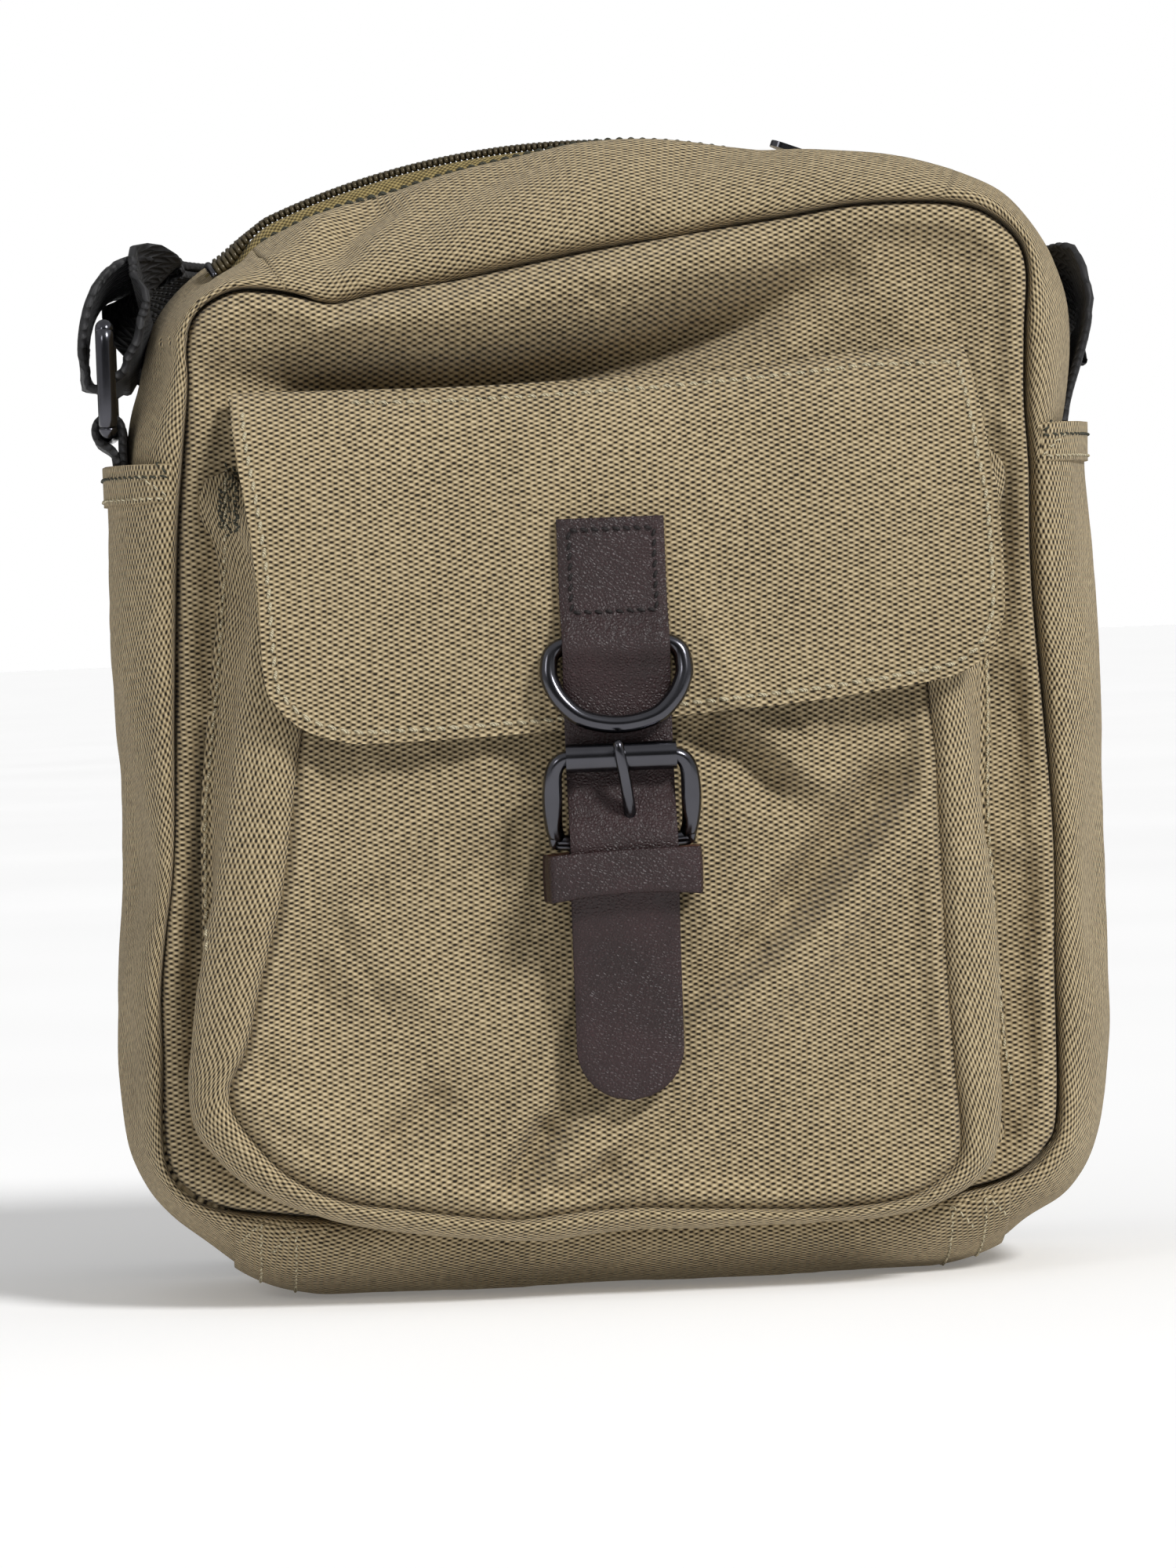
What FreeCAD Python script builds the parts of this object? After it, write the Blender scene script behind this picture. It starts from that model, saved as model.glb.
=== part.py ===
import FreeCAD, Part
import os
from math import sin, cos, pi, radians, sqrt, atan2, degrees
from FreeCAD import Vector as V

os.makedirs("parts", exist_ok=True)

# Small upright messenger bag. Millimetres, +Z up, front faces -Y, origin at the middle of the base.

# body
HALF_W = 108.0          # side gusset to centre
HALF_D = 37.0           # front or back panel to centre
BASE_Z = 1.5            # underside of the side gussets
BASE_R = 38.0           # bottom corner radius
SHOULDER_R = 45.0       # top corner radius
TOP_R = 184.0           # radius of the domed top, which the zip follows
TOP_C = 84.2            # height of that arc's centre
ROLL = 17.0             # rolled edge between panels and gusset
CLOTH = 1.5             # canvas thickness
LINING = 0.8
GAP = 0.3               # air between loose layers
SEAM_Y = 33.0           # where the panels meet the gusset
BASE_HALF = 86.0        # half length of the base gusset

# zip
ZIP_HALF = 9.0          # half width of the slot in the top
COIL_HALF = 3.2         # half width of the two coil rows
ZIP_ANGLE = 26.0        # half angle of the zip along the top arc
SLIDER_ANGLE = 23.5     # slider at its closed end
COIL_H = 2.0

# side pockets
POCKET_OUT = 116.2      # outer face of a side pocket
POCKET_TOP = 195.5
POCKET_Y = 31.0
POCKET_BOT = 16.0
HEM_H = 9.0

# front bellows pocket
FP_BASE_W = 88.0        # half width where it is sewn to the body
FP_FACE_W = 77.0        # half width of its panel low down
FP_FACE_TOP_W = 68.0
FP_BASE_Z = 13.0
FP_FACE_Z = 21.0
FP_TOP = 186.0
FP_FACE_Y = 57.5
FP_CLOTH = 1.6

# flap
FLAP_HALF_W = 85.0
FLAP_BOT = 133.5
FLAP_R = 20.0
HINGE_Z = 212.5
HINGE_Y = -38.8
FLAP_CLOTH = 1.1
FACING = 0.9

# closure
STRAP_HALF = 12.5
STRAP_T = 1.8
D_BAR_Z = 151.0
D_BAR_Y = -64.5
D_WIRE = 1.75
D_HALF = 15.5
ROLLER_Z = 125.2
ROLLER_Y = -68.8
ROLLER_R = 3.3
BAR_R = 1.85
HEEL_Z = 106.0
HEEL_Y = -64.0
HEEL_R = 1.8
FRAME_X = 15.4
KEEPER_Z = 93.0
KEEPER_H = 10.0

# shoulder strap
WEB_HALF = 19.0
WEB_T = 1.7
RING_X = -113.4
RING_WIRE = 2.2
RING_LOW = 205.2
RING_HIGH = 229.0
RING_HALF_Y = 22.4


def save(name, shape):
    shape = shape.removeSplitter() if shape.ShapeType != "Compound" else shape
    if not shape.isValid():
        shape.fix(0.01, 0.01, 0.05)
    print(name, len(shape.Solids), "solids", round(shape.Volume, 1), "valid" if shape.isValid() else "NOT VALID")
    shape.exportStep("parts/" + name + ".step")


def block(x0, x1, y0, y1, z0, z1):
    return Part.makeBox(x1 - x0, y1 - y0, z1 - z0, V(x0, y0, z0))


def cut_to(shape, tool):
    """The part of shape inside tool, as one compound of its solids."""
    out = shape.common(tool)
    return out.Solids[0] if len(out.Solids) == 1 else Part.makeCompound(out.Solids)


def body_wire(d, y):
    """Front view outline of the bag, grown outwards by d, in the plane at y."""
    w, base = HALF_W + d, BASE_Z - d
    base_c = V(HALF_W - BASE_R, y, BASE_Z + BASE_R)
    sh_c = V(HALF_W - SHOULDER_R, y, TOP_C + sqrt((TOP_R - SHOULDER_R) ** 2 - (HALF_W - SHOULDER_R) ** 2))
    rb, rs, rt = BASE_R + d, SHOULDER_R + d, TOP_R + d
    a = atan2(sh_c.z - TOP_C, sh_c.x)
    top = V(rt * cos(a), y, TOP_C + rt * sin(a))
    mid = V(sh_c.x + rs * cos(a / 2), y, sh_c.z + rs * sin(a / 2))
    corner = V(base_c.x + rb * cos(pi / 4), y, base_c.z - rb * sin(pi / 4))

    def flip(p):
        return V(-p.x, p.y, p.z)

    b0, b1 = V(base_c.x, y, base), V(w, y, base_c.z)
    s0 = V(w, y, sh_c.z)
    edges = [
        Part.LineSegment(flip(b0), b0),
        Part.Arc(b0, corner, b1),
        Part.LineSegment(b1, s0),
        Part.Arc(s0, mid, top),
        Part.Arc(top, V(0, y, TOP_C + rt), flip(top)),
        Part.Arc(flip(top), flip(mid), flip(s0)),
        Part.LineSegment(flip(s0), flip(b1)),
        Part.Arc(flip(b1), flip(corner), flip(b0)),
    ]
    return Part.Wire([e.toShape() for e in edges])


def body_solid(d, half_d=None, roll=None):
    """The bag as one solid with rolled front and back edges, grown outwards by d."""
    h = HALF_D + d if half_d is None else half_d
    r = ROLL + d if roll is None else roll
    solid = Part.Face(body_wire(d, -h)).extrude(V(0, 2 * h, 0))
    rims = [e for e in solid.Edges if e.BoundBox.YLength < 0.01 and e.Length > 1]
    return solid.makeFillet(r, rims)


def prism_y(points, y0, y1):
    """Polygon of (x, z) points pushed from y0 to y1."""
    pts = [V(x, y0, z) for x, z in points]
    return Part.Face(Part.makePolygon(pts + [pts[0]])).extrude(V(0, y1 - y0, 0))


def rounded_wire(pts, radii, y):
    """Closed polygon of (x, z) points in the plane at y with rounded corners."""
    n = len(pts)
    edges, ends = [], []
    for i in range(n):
        p, a, b = V(pts[i][0], y, pts[i][1]), pts[i - 1], pts[(i + 1) % n]
        da = (V(a[0], y, a[1]) - p).normalize()
        db = (V(b[0], y, b[1]) - p).normalize()
        half = da.getAngle(db) / 2
        t = radii[i] / (sin(half) / cos(half))
        mid = p + (da + db).normalize() * (radii[i] / sin(half) - radii[i])
        ends.append((p + da * t, mid, p + db * t))
    for i in range(n):
        edges.append(Part.Arc(*ends[i]).toShape())
        edges.append(Part.LineSegment(ends[i][2], ends[(i + 1) % n][0]).toShape())
    return Part.Wire(edges)


def bar(x0, x1, y, z, r):
    return Part.makeCylinder(r, x1 - x0, V(x0, y, z), V(1, 0, 0))


def ribbon(mids, widths, normals, half, t):
    """Flat band along mid points with its own width direction and normal at each, in small flat facets."""
    rings = []
    halves = half if isinstance(half, list) else [half] * len(mids)
    for m, w, n, half in zip(mids, widths, normals, halves):
        signs = ((-1, -1), (1, -1), (1, 1), (-1, 1))
        rings.append([m + w * (sw * half) + n * (sn * t / 2) for sw, sn in signs])

    def facet(*pts):
        return Part.Face(Part.makePolygon(list(pts) + [pts[0]]))

    faces = [facet(*rings[0]), facet(*rings[-1])]
    for a, b in zip(rings, rings[1:]):
        for i in range(4):
            j = (i + 1) % 4
            faces.append(facet(a[i], a[j], b[j]))
            faces.append(facet(a[i], b[j], b[i]))
    shell = Part.makeShell(faces)
    shell.sewShape()
    solid = Part.makeSolid(shell)
    if solid.Volume < 0:
        solid.reverse()
    return solid


def band_yz(points, x0, x1, t):
    """Band whose side view follows smooth (z, y) points, from x0 to x1, t thick about that line."""
    curve = Part.BSplineCurve()
    curve.interpolate([V(x0, y, z) for z, y in points])
    n = 40
    left, right = [], []
    for i in range(n + 1):
        u = curve.FirstParameter + (curve.LastParameter - curve.FirstParameter) * i / n
        p, d = curve.value(u), curve.tangent(u)[0]
        side = V(0, -d.z, d.y)
        left.append(p + side * (t / 2))
        right.append(p - side * (t / 2))
    a, b = Part.BSplineCurve(), Part.BSplineCurve()
    a.interpolate(left)
    b.interpolate(right)
    wire = Part.Wire([
        a.toShape(),
        Part.LineSegment(left[-1], right[-1]).toShape(),
        b.toShape(),
        Part.LineSegment(right[0], left[0]).toShape(),
    ])
    return Part.Face(wire).extrude(V(x1 - x0, 0, 0))


# ---- bag body -------------------------------------------------------------------------------
outer = body_solid(0)
under = body_solid(-CLOTH)
skin = outer.cut(under)
big = 400.0
slot = block(-big, big, -ZIP_HALF, ZIP_HALF, TOP_C, big)
front_part = block(-big, big, -big, -SEAM_Y, -big, big)
back_part = block(-big, big, SEAM_Y, big, -big, big)
middle = block(-big, big, -SEAM_Y, SEAM_Y, -big, big)
gusset = cut_to(skin, middle)

save("front_panel", cut_to(skin, front_part))
save("back_panel", cut_to(skin, back_part))

arm = big
za = radians(ZIP_ANGLE + 1.0)
wedge = prism_y([(0, TOP_C), (arm * sin(za), TOP_C + arm * cos(za)), (-arm * sin(za), TOP_C + arm * cos(za))],
                -big, big)
top_band = cut_to(gusset, wedge)
save("top_gusset_front", cut_to(top_band, block(-big, big, -big, -ZIP_HALF, 0, big)))
save("top_gusset_back", cut_to(top_band, block(-big, big, ZIP_HALF, big, 0, big)))
rest = gusset.cut(wedge)
save("left_gusset", cut_to(rest, block(-big, 0, -big, big, -big, big)))
save("right_gusset", cut_to(rest, block(0, big, -big, big, -big, big)))

base_skin = body_solid(CLOTH).cut(outer)
save("base_gusset", cut_to(base_skin, block(-BASE_HALF, BASE_HALF, -SEAM_Y + 1, SEAM_Y - 1, -10, 40)))

lining_out = body_solid(-CLOTH - GAP)
lining_in = body_solid(-CLOTH - GAP - LINING)
save("lining", lining_out.cut(lining_in).cut(slot))

for side, name in ((-1, "front_seam_binding"), (1, "back_seam_binding")):
    y0 = side * (SEAM_Y - 2) if side < 0 else SEAM_Y - 3
    strip = lining_in.cut(body_solid(-CLOTH - GAP - LINING - 1.2))
    save(name, cut_to(strip, block(-big, big, min(side * 29, side * 33), max(side * 29, side * 33), -big, big)))


# ---- zip ------------------------------------------------------------------------------------
def arc_band(r0, r1, y0, y1, a0, a1):
    """Slice of a ring about the top arc's axis, a0 to a1 degrees from the vertical towards +X."""
    ring = Part.makeCylinder(r1, y1 - y0, V(0, y0, TOP_C), V(0, 1, 0))
    ring = ring.cut(Part.makeCylinder(r0, y1 - y0, V(0, y0, TOP_C), V(0, 1, 0)))
    p, q = radians(a0), radians(a1)
    fan = [(0, TOP_C), (big * sin(p), TOP_C + big * cos(p)), (big * sin(q), TOP_C + big * cos(q))]
    return cut_to(ring, prism_y(fan, -50, 50))


tape_r1 = TOP_R - 0.4
tape_r0 = tape_r1 - 0.8
save("zip_tape_front", arc_band(tape_r0, tape_r1, -ZIP_HALF, -0.1, -ZIP_ANGLE, ZIP_ANGLE))
save("zip_tape_back", arc_band(tape_r0, tape_r1, 0.1, ZIP_HALF, -ZIP_ANGLE, ZIP_ANGLE))
save("zip_coil_front", arc_band(tape_r1, tape_r1 + COIL_H, -COIL_HALF, -0.1, -ZIP_ANGLE + 1.5, ZIP_ANGLE - 1.5))
save("zip_coil_back", arc_band(tape_r1, tape_r1 + COIL_H, 0.1, COIL_HALF, -ZIP_ANGLE + 1.5, ZIP_ANGLE - 1.5))
stops = [arc_band(tape_r1, tape_r1 + 2.2, -3.4, 3.4, s * (ZIP_ANGLE - 0.6) - 0.5, s * (ZIP_ANGLE - 0.6) + 0.5)
         for s in (-1, 1)]
save("zip_end_stops", Part.makeCompound(stops))


def on_top(shape, angle):
    """Carry a shape drawn over the middle of the zip round the top arc."""
    shape = shape.copy()
    shape.rotate(V(0, 0, TOP_C), V(0, 1, 0), angle)
    return shape


sz = TOP_C + tape_r1
slider = block(-5.5, 5.5, -5.2, 5.2, sz + 0.5, sz + COIL_H + 1.8)
slider = slider.makeFillet(1.1, [e for e in slider.Edges if e.BoundBox.ZLength > 1])
slider = slider.cut(arc_band(TOP_R - 6, tape_r1 + COIL_H + 0.4, -COIL_HALF - 0.4, COIL_HALF + 0.4, -4, 4))
crown_z = sz + COIL_H + 1.8
crown = block(-4.2, 4.2, -1.3, 1.3, crown_z, crown_z + 3.4)
crown = crown.cut(block(-2.4, 2.4, -2, 2, crown_z, crown_z + 2.3))
slider = slider.fuse(crown)
save("zip_slider", on_top(slider, SLIDER_ANGLE))
pull_z = crown_z + 1.15
pull = Part.makeCylinder(0.85, 5.6, V(0, -2.8, pull_z), V(0, 1, 0))
for s in (-1, 1):
    pull = pull.fuse(block(-10.0, 0.8, min(s * 1.7, s * 3.2), max(s * 1.7, s * 3.2), pull_z - 0.7, pull_z + 0.7))
tag = block(-31.0, -8.5, -3.6, 3.6, pull_z - 0.7, pull_z + 0.7)
tag = tag.makeFillet(2.6, [e for e in tag.Edges if e.BoundBox.ZLength > 1 and e.BoundBox.XMax < -30])
pull = pull.fuse(tag).cut(block(-8.0, -4.6, -1.7, 1.7, pull_z - 2, pull_z + 2))
pull.rotate(V(0, 0, pull_z), V(0, 1, 0), -3)
save("zip_pull", on_top(pull, SLIDER_ANGLE))
pa = radians(SLIDER_ANGLE)
print("pull axis", round((pull_z - TOP_C) * sin(pa), 3), round(TOP_C + (pull_z - TOP_C) * cos(pa), 3))

# ---- side pockets ---------------------------------------------------------------------------
grow = POCKET_OUT - HALF_W
pocket_shell = body_solid(grow, POCKET_Y, 6.0).cut(body_solid(grow - 1.3, POCKET_Y - 1.3, 4.7).common(
    block(-big, big, -big, big, POCKET_BOT + 10, big))).cut(body_solid(CLOTH * 0.02))
pocket_shell = pocket_shell.cut(base_skin)
for s, name in ((-1, "left"), (1, "right")):
    zone = block(min(s * 88, s * 140), max(s * 88, s * 140), -40, 40, POCKET_BOT, POCKET_TOP)
    patch = cut_to(pocket_shell, zone)
    hem_zone = block(-140, 140, -40, 40, POCKET_TOP - HEM_H, POCKET_TOP)
    save(name + "_side_pocket", patch.cut(hem_zone))
    save(name + "_pocket_hem", cut_to(patch, hem_zone))


# ---- front bellows pocket -------------------------------------------------------------------
def pocket_outline(d, y, w_low, w_top, z_low, r):
    pts = [(-w_low - d, z_low - d), (w_low + d, z_low - d), (w_top + d, FP_TOP + 8), (-w_top - d, FP_TOP + 8)]
    return rounded_wire(pts, [r + d, r + d, 2.0, 2.0], y)


def bellows(d, y0, y1):
    a = pocket_outline(d, y0, FP_BASE_W, FP_BASE_W - 6, FP_BASE_Z, 30.0)
    b = pocket_outline(d, y1, FP_FACE_W, FP_FACE_TOP_W, FP_FACE_Z, 16.0)
    return Part.makeLoft([a, b], True, True)


fp_y0, fp_y1 = -HALF_D - 0.05, -FP_FACE_Y
below_top = block(-big, big, -big, big, -big, FP_TOP)
fp_out = bellows(0, fp_y0, fp_y1).common(below_top)
fp_in = bellows(-FP_CLOTH, fp_y0, fp_y1 + FP_CLOTH)
fp_all = fp_out.cut(fp_in)
face_zone = block(-big, big, -big, fp_y1 + FP_CLOTH, -big, big)
save("pocket_panel", cut_to(fp_all, face_zone))
save("pocket_gusset", fp_all.cut(face_zone))
rim = bellows(1.4, fp_y0, fp_y1).common(block(-big, big, fp_y1 + 3.5, fp_y1 + 7.0, -big, 150.0)).cut(bellows(0, fp_y0, fp_y1))
save("pocket_welt", rim)
snap_z = 119.0
female = Part.makeCylinder(7.5, 1.3, V(0, fp_y1 - 0.02, snap_z), V(0, -1, 0))
save("snap_female", female)

# ---- flap -----------------------------------------------------------------------------------
flap_line = [(212.3, -39.9), (209.5, -46.0), (202.0, -54.0), (190.0, -59.4), (175.0, -61.0), (155.0, -61.5),
             (FLAP_BOT - 6, -61.6)]
flap_cut = Part.Face(rounded_wire(
    [(-FLAP_HALF_W - 1.5, FLAP_BOT), (FLAP_HALF_W + 1.5, FLAP_BOT), (FLAP_HALF_W, 216), (-FLAP_HALF_W, 216)],
    [FLAP_R, FLAP_R, 1.0, 1.0], -90)).extrude(V(0, 80, 0))


def flap_layer(shift, t):
    line = [(z + shift * (0.7 if z > 195 else 0.15), y - shift * (0.7 if z > 195 else 1.0)) for z, y in flap_line]
    return cut_to(band_yz(line, -FLAP_HALF_W - 2, FLAP_HALF_W + 2, t), flap_cut)


save("flap_facing", flap_layer(-0.6, FACING))
save("flap_outer", flap_layer(0.5, FLAP_CLOTH))
save("flap_strip", block(-FLAP_HALF_W, FLAP_HALF_W, -HALF_D - 1.0, -HALF_D - 0.02, HINGE_Z - 1.0, HINGE_Z + 6.0))

# ---- closure strap, buckle and D-ring -----------------------------------------------------
strap_line = [(178.5, -63.1), (172.0, -63.3), (162.0, -63.7), (156.5, -65.3), (151.0, -67.7), (145.5, -65.9),
              (139.0, -64.5), (132.0, -64.4), (125.0, -64.25), (119.0, -64.8), (113.0, -66.6), (106.0, -69.0),
              (98.0, -68.0), (90.0, -65.9), (80.0, -64.1), (65.0, -62.6), (46.5, -61.6)]
strap = band_yz(strap_line, -STRAP_HALF - 1, STRAP_HALF + 1, STRAP_T)
face = Part.Face(rounded_wire([(-STRAP_HALF, 48.0), (STRAP_HALF, 48.0), (STRAP_HALF - 0.9, 178.0),
                               (-STRAP_HALF + 0.9, 178.0)], [12.4, 12.4, 0.8, 0.8], -90))
strap = cut_to(strap, face.extrude(V(0, 50, 0)))
strap = strap.cut(block(-2.2, 2.2, -90, -50, 104.8, 119.5))
save("closure_strap", strap)

heel_loop = Part.makeCylinder(HEEL_R + 1.75, 25.0, V(-12.5, HEEL_Y, HEEL_Z), V(1, 0, 0))
heel_loop = heel_loop.cut(bar(-20, 20, HEEL_Y, HEEL_Z, HEEL_R + 0.25))
tab = block(-12.5, 12.5, -61.7, -60.3, 72.0, HEEL_Z - 0.5).fuse(block(-12.5, 12.5, -63.2, -61.7, 85.0, 98.0))
tab = tab.cut(bar(-20, 20, HEEL_Y, HEEL_Z, HEEL_R + 0.25)).fuse(heel_loop)
tab_fill = (Part.Face(Part.makePolygon([
    V(-12.5, -63.2, 98.0), V(-12.5, -61.7, 98.0), V(-12.5, -61.7, 103.5), V(-12.5, -66.2, 103.5),
    V(-12.5, -63.2, 98.0)])).extrude(V(25, 0, 0)).cut(bar(-20, 20, HEEL_Y, HEEL_Z, HEEL_R + 0.25)))
tab = tab.fuse(tab_fill).cut(Part.makeCylinder(HEEL_R + 2.0, 3.6, V(-1.8, HEEL_Y, HEEL_Z), V(1, 0, 0)))
save("buckle_tab", tab)

frame_top = V(0, ROLLER_Y, ROLLER_Z)
frame_low = V(0, HEEL_Y, HEEL_Z)
frame = bar(-FRAME_X, FRAME_X, ROLLER_Y, ROLLER_Z, BAR_R).fuse(bar(-FRAME_X, FRAME_X, HEEL_Y, HEEL_Z, HEEL_R))
for s in (-1, 1):
    a = V(s * FRAME_X, ROLLER_Y, ROLLER_Z)
    b = V(s * FRAME_X, HEEL_Y, HEEL_Z)
    side = Part.makeCylinder(1.9, (b - a).Length, a, b - a)
    frame = frame.fuse(side).fuse(Part.makeSphere(1.9, a)).fuse(Part.makeSphere(1.9, b))
save("buckle_frame", frame)
roller = Part.makeCylinder(ROLLER_R, 25.2, V(-12.6, ROLLER_Y, ROLLER_Z), V(1, 0, 0))
save("buckle_roller", roller.cut(bar(-20, 20, ROLLER_Y, ROLLER_Z, BAR_R + 0.05)))

prong_pts = [(HEEL_Z + 1.5, -66.6), (110.5, -68.6), (114.5, -70.6), (119.0, -72.4), (123.5, -73.5), (128.6, -73.6)]
prong = band_yz(prong_pts, -1.3, 1.3, 2.0)
eye = Part.makeCylinder(HEEL_R + 1.5, 2.6, V(-1.3, HEEL_Y, HEEL_Z), V(1, 0, 0))
prong = prong.fuse(eye).cut(bar(-5, 5, HEEL_Y, HEEL_Z, HEEL_R + 0.06))
save("buckle_prong", prong)

loop = block(-17.6, 17.6, -72.2, -58.5, KEEPER_Z, KEEPER_Z + KEEPER_H)
loop = loop.makeFillet(2.5, [e for e in loop.Edges if e.BoundBox.ZLength > 5])
hole = block(-16.2, 16.2, -70.7, -59.7, KEEPER_Z - 1, KEEPER_Z + KEEPER_H + 1)
hole = hole.makeFillet(1.3, [e for e in hole.Edges if e.BoundBox.ZLength > 5])
save("keeper_loop", loop.cut(hole))

d_low = D_BAR_Z - 3.6
ring_path = Part.Wire([
    Part.LineSegment(V(-D_HALF, 0, D_BAR_Z), V(-D_HALF, 0, d_low)).toShape(),
    Part.Arc(V(-D_HALF, 0, d_low), V(0, 0, d_low - D_HALF), V(D_HALF, 0, d_low)).toShape(),
    Part.LineSegment(V(D_HALF, 0, d_low), V(D_HALF, 0, D_BAR_Z)).toShape(),
])
start = Part.Wire(Part.makeCircle(D_WIRE, V(-D_HALF, 0, D_BAR_Z), V(0, 0, 1)))
d_ring = ring_path.makePipeShell([start], True, False)
d_ring = d_ring.fuse(bar(-D_HALF, D_HALF, 0, D_BAR_Z, D_WIRE))
for s in (-1, 1):
    d_ring = d_ring.fuse(Part.makeSphere(D_WIRE, V(s * D_HALF, 0, D_BAR_Z)))
d_ring.translate(V(0, D_BAR_Y, 0))
d_ring.rotate(V(0, D_BAR_Y, D_BAR_Z), V(-1, 0, 0), 13.5)
save("d_ring", d_ring)
male = Part.makeCylinder(6.5, 2.9, V(0, -60.5, snap_z), V(0, -1, 0))
male = male.fuse(Part.makeCylinder(3.0, 1.3, V(0, -59.2, snap_z), V(0, -1, 0))).cut(strap)
save("snap_male", male.Solids[0])


# ---- shoulder strap -------------------------------------------------------------------------
def smooth(points, n):
    """Evenly spaced points on the smooth curve through the given ones, with tangents."""
    curve = Part.BSplineCurve()
    curve.interpolate([V(*p) for p in points])
    length = curve.length()
    params = [curve.parameterAtDistance(length * i / n, curve.FirstParameter) for i in range(n + 1)]
    return [curve.value(u) for u in params], [V(curve.tangent(u)[0]) for u in params]


# one side of the strap from the ring or gusset, over the shoulder, down the back with a quarter turn
def side_run(side, lower, n):
    pts = lower + [(118.8, 1, 227.0), (117.0, 6, 235.6), (110.5, 20, 240.6), (101.0, 40, 240.0), (93.0, 54, 231.0),
                   (86.5, 61, 214.0), (84.0, 62, 198.0), (84.0, 62, 150.0), (84.0, 63, 110.0), (84.0, 64, 60.0),
                   (84.0, 64, 32.0)]
    mids, dirs = smooth([(side * x, y, z) for x, y, z in pts], n)
    total = n
    guides = []
    for m in mids:
        if m.z > 200 and m.y < 4:
            g = V(0, 1, 0)
        elif m.y < 4:
            g = V(0, 1, 0)
        elif m.z > 205:
            u = min(1.0, (m.y - 4) / 26.0)
            g = V(0, 1, 0) * (1 - u) + V(-side * 0.8, -0.35 if m.y < 50 else 0, 0.45 if m.y < 50 else 0.1) * u
        else:
            u = min(1.0, max(0.0, (150.0 - m.z) / 100.0))
            g = V(-side * (1 - u), u, 0)
        guides.append(g)
    soft = [sum(guides[max(0, i - 2):i + 3], V()) for i in range(total + 1)]
    widths, halves = [], []
    for m, d, g in zip(mids, dirs, soft):
        w = g - d * g.dot(d)
        w.normalize()
        widths.append(w)
        pinch = max(0.0, 1 - abs(m.y - 32) / 34.0) if m.z > 200 else 0.0
        halves.append(WEB_HALF - 8.5 * pinch * pinch * (3 - 2 * pinch))
    return mids, widths, halves


left_mid, left_w, left_h = side_run(-1, [(119.0, 0, 218.0)], 46)
right_mid, right_w, right_h = side_run(1, [(110.2, 0, 176.0), (110.2, 0, 193.0), (112.6, 0, 205.0)], 54)
right_mid, right_w, right_h = right_mid[::-1], right_w[::-1], right_h[::-1]

# flat runs on the ground behind the bag, joined by turns
stack_z = [1.2, 6.2, 11.2, 16.2, 21.2]
stack = [V(-82.5, 64, 13.0), V(-78.0, 64, 4.5), V(-70.0, 64, 1.2)]
for i, z in enumerate(stack_z):
    s = 1 if i % 2 == 0 else -1
    for x in (-60, -20, 20, 60):
        stack.append(V(s * x, 64, z))
    if i < len(stack_z) - 1:
        stack.append(V(s * 68, 64, z + 0.4))
        stack.append(V(s * 71, 64, z + 2.5))
        stack.append(V(s * 68, 64, z + 4.6))
stack += [V(72, 64, 21.6), V(81.5, 64, 27.0)]

# the strap end doubles back through the ring and follows the inner side of the first run
ADJUSTER_Z = 178.0
inner = []
for m, w, h in zip(left_mid, left_w, left_h):
    if m.z > ADJUSTER_Z + 3 and m.y > 14:
        i = left_mid.index(m)
        d = (left_mid[i + 1] - left_mid[i - 1]).normalize()
        side = d.cross(w)
        if side.dot(V(-60, 10, 190) - m) < 0:
            side = side * -1
        inner.append((m + side * 2.9, w, h))
inner.reverse()
loop_pts = [V(-110.2, 5, 236.2), V(-108.0, 1, 230.5), V(-108.6, 0, 220.5), V(-110.8, 0, 215.4), V(-114.0, 0, 213.4),
            V(-117.2, 0, 214.6)]
upright = V(0, 1, 0)
all_mid = [m for m, w, h in inner] + loop_pts + left_mid + stack + right_mid
all_w = [w for m, w, h in inner] + [upright] * len(loop_pts) + left_w + [upright] * len(stack) + right_w
all_h = [h for m, w, h in inner] + [WEB_HALF] * len(loop_pts) + left_h + [WEB_HALF] * len(stack) + right_h
strap_w, strap_n = [], []
for i, m in enumerate(all_mid):
    d = (all_mid[min(i + 1, len(all_mid) - 1)] - all_mid[max(i - 1, 0)]).normalize()
    w = all_w[i] - d * all_w[i].dot(d)
    w.normalize()
    if strap_w and w.dot(strap_w[-1]) < 0:
        w = w * -1
    strap_w.append(w)
    strap_n.append(d.cross(w))
length = sum((all_mid[i + 1] - all_mid[i]).Length for i in range(len(all_mid) - 1))
print("webbing length", round(length))
save("shoulder_strap", ribbon(all_mid, strap_w, strap_n, all_h, WEB_T))

ring = None
corner = 4.0
ry, r0, r1 = RING_HALF_Y, RING_LOW, RING_HIGH
ring_wire = Part.makePolygon([V(RING_X, -ry, r0), V(RING_X, ry, r0), V(RING_X, ry, r1), V(RING_X, -ry, r1),
                              V(RING_X, -ry, r0)])
for p, q in zip(ring_wire.Vertexes, ring_wire.Vertexes[1:] + ring_wire.Vertexes[:1]):
    a, b = p.Point, q.Point
    rod = Part.makeCylinder(RING_WIRE, (b - a).Length, a, b - a).fuse(Part.makeSphere(RING_WIRE, a))
    ring = rod if ring is None else ring.fuse(rod)
save("left_ring", ring)

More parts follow.
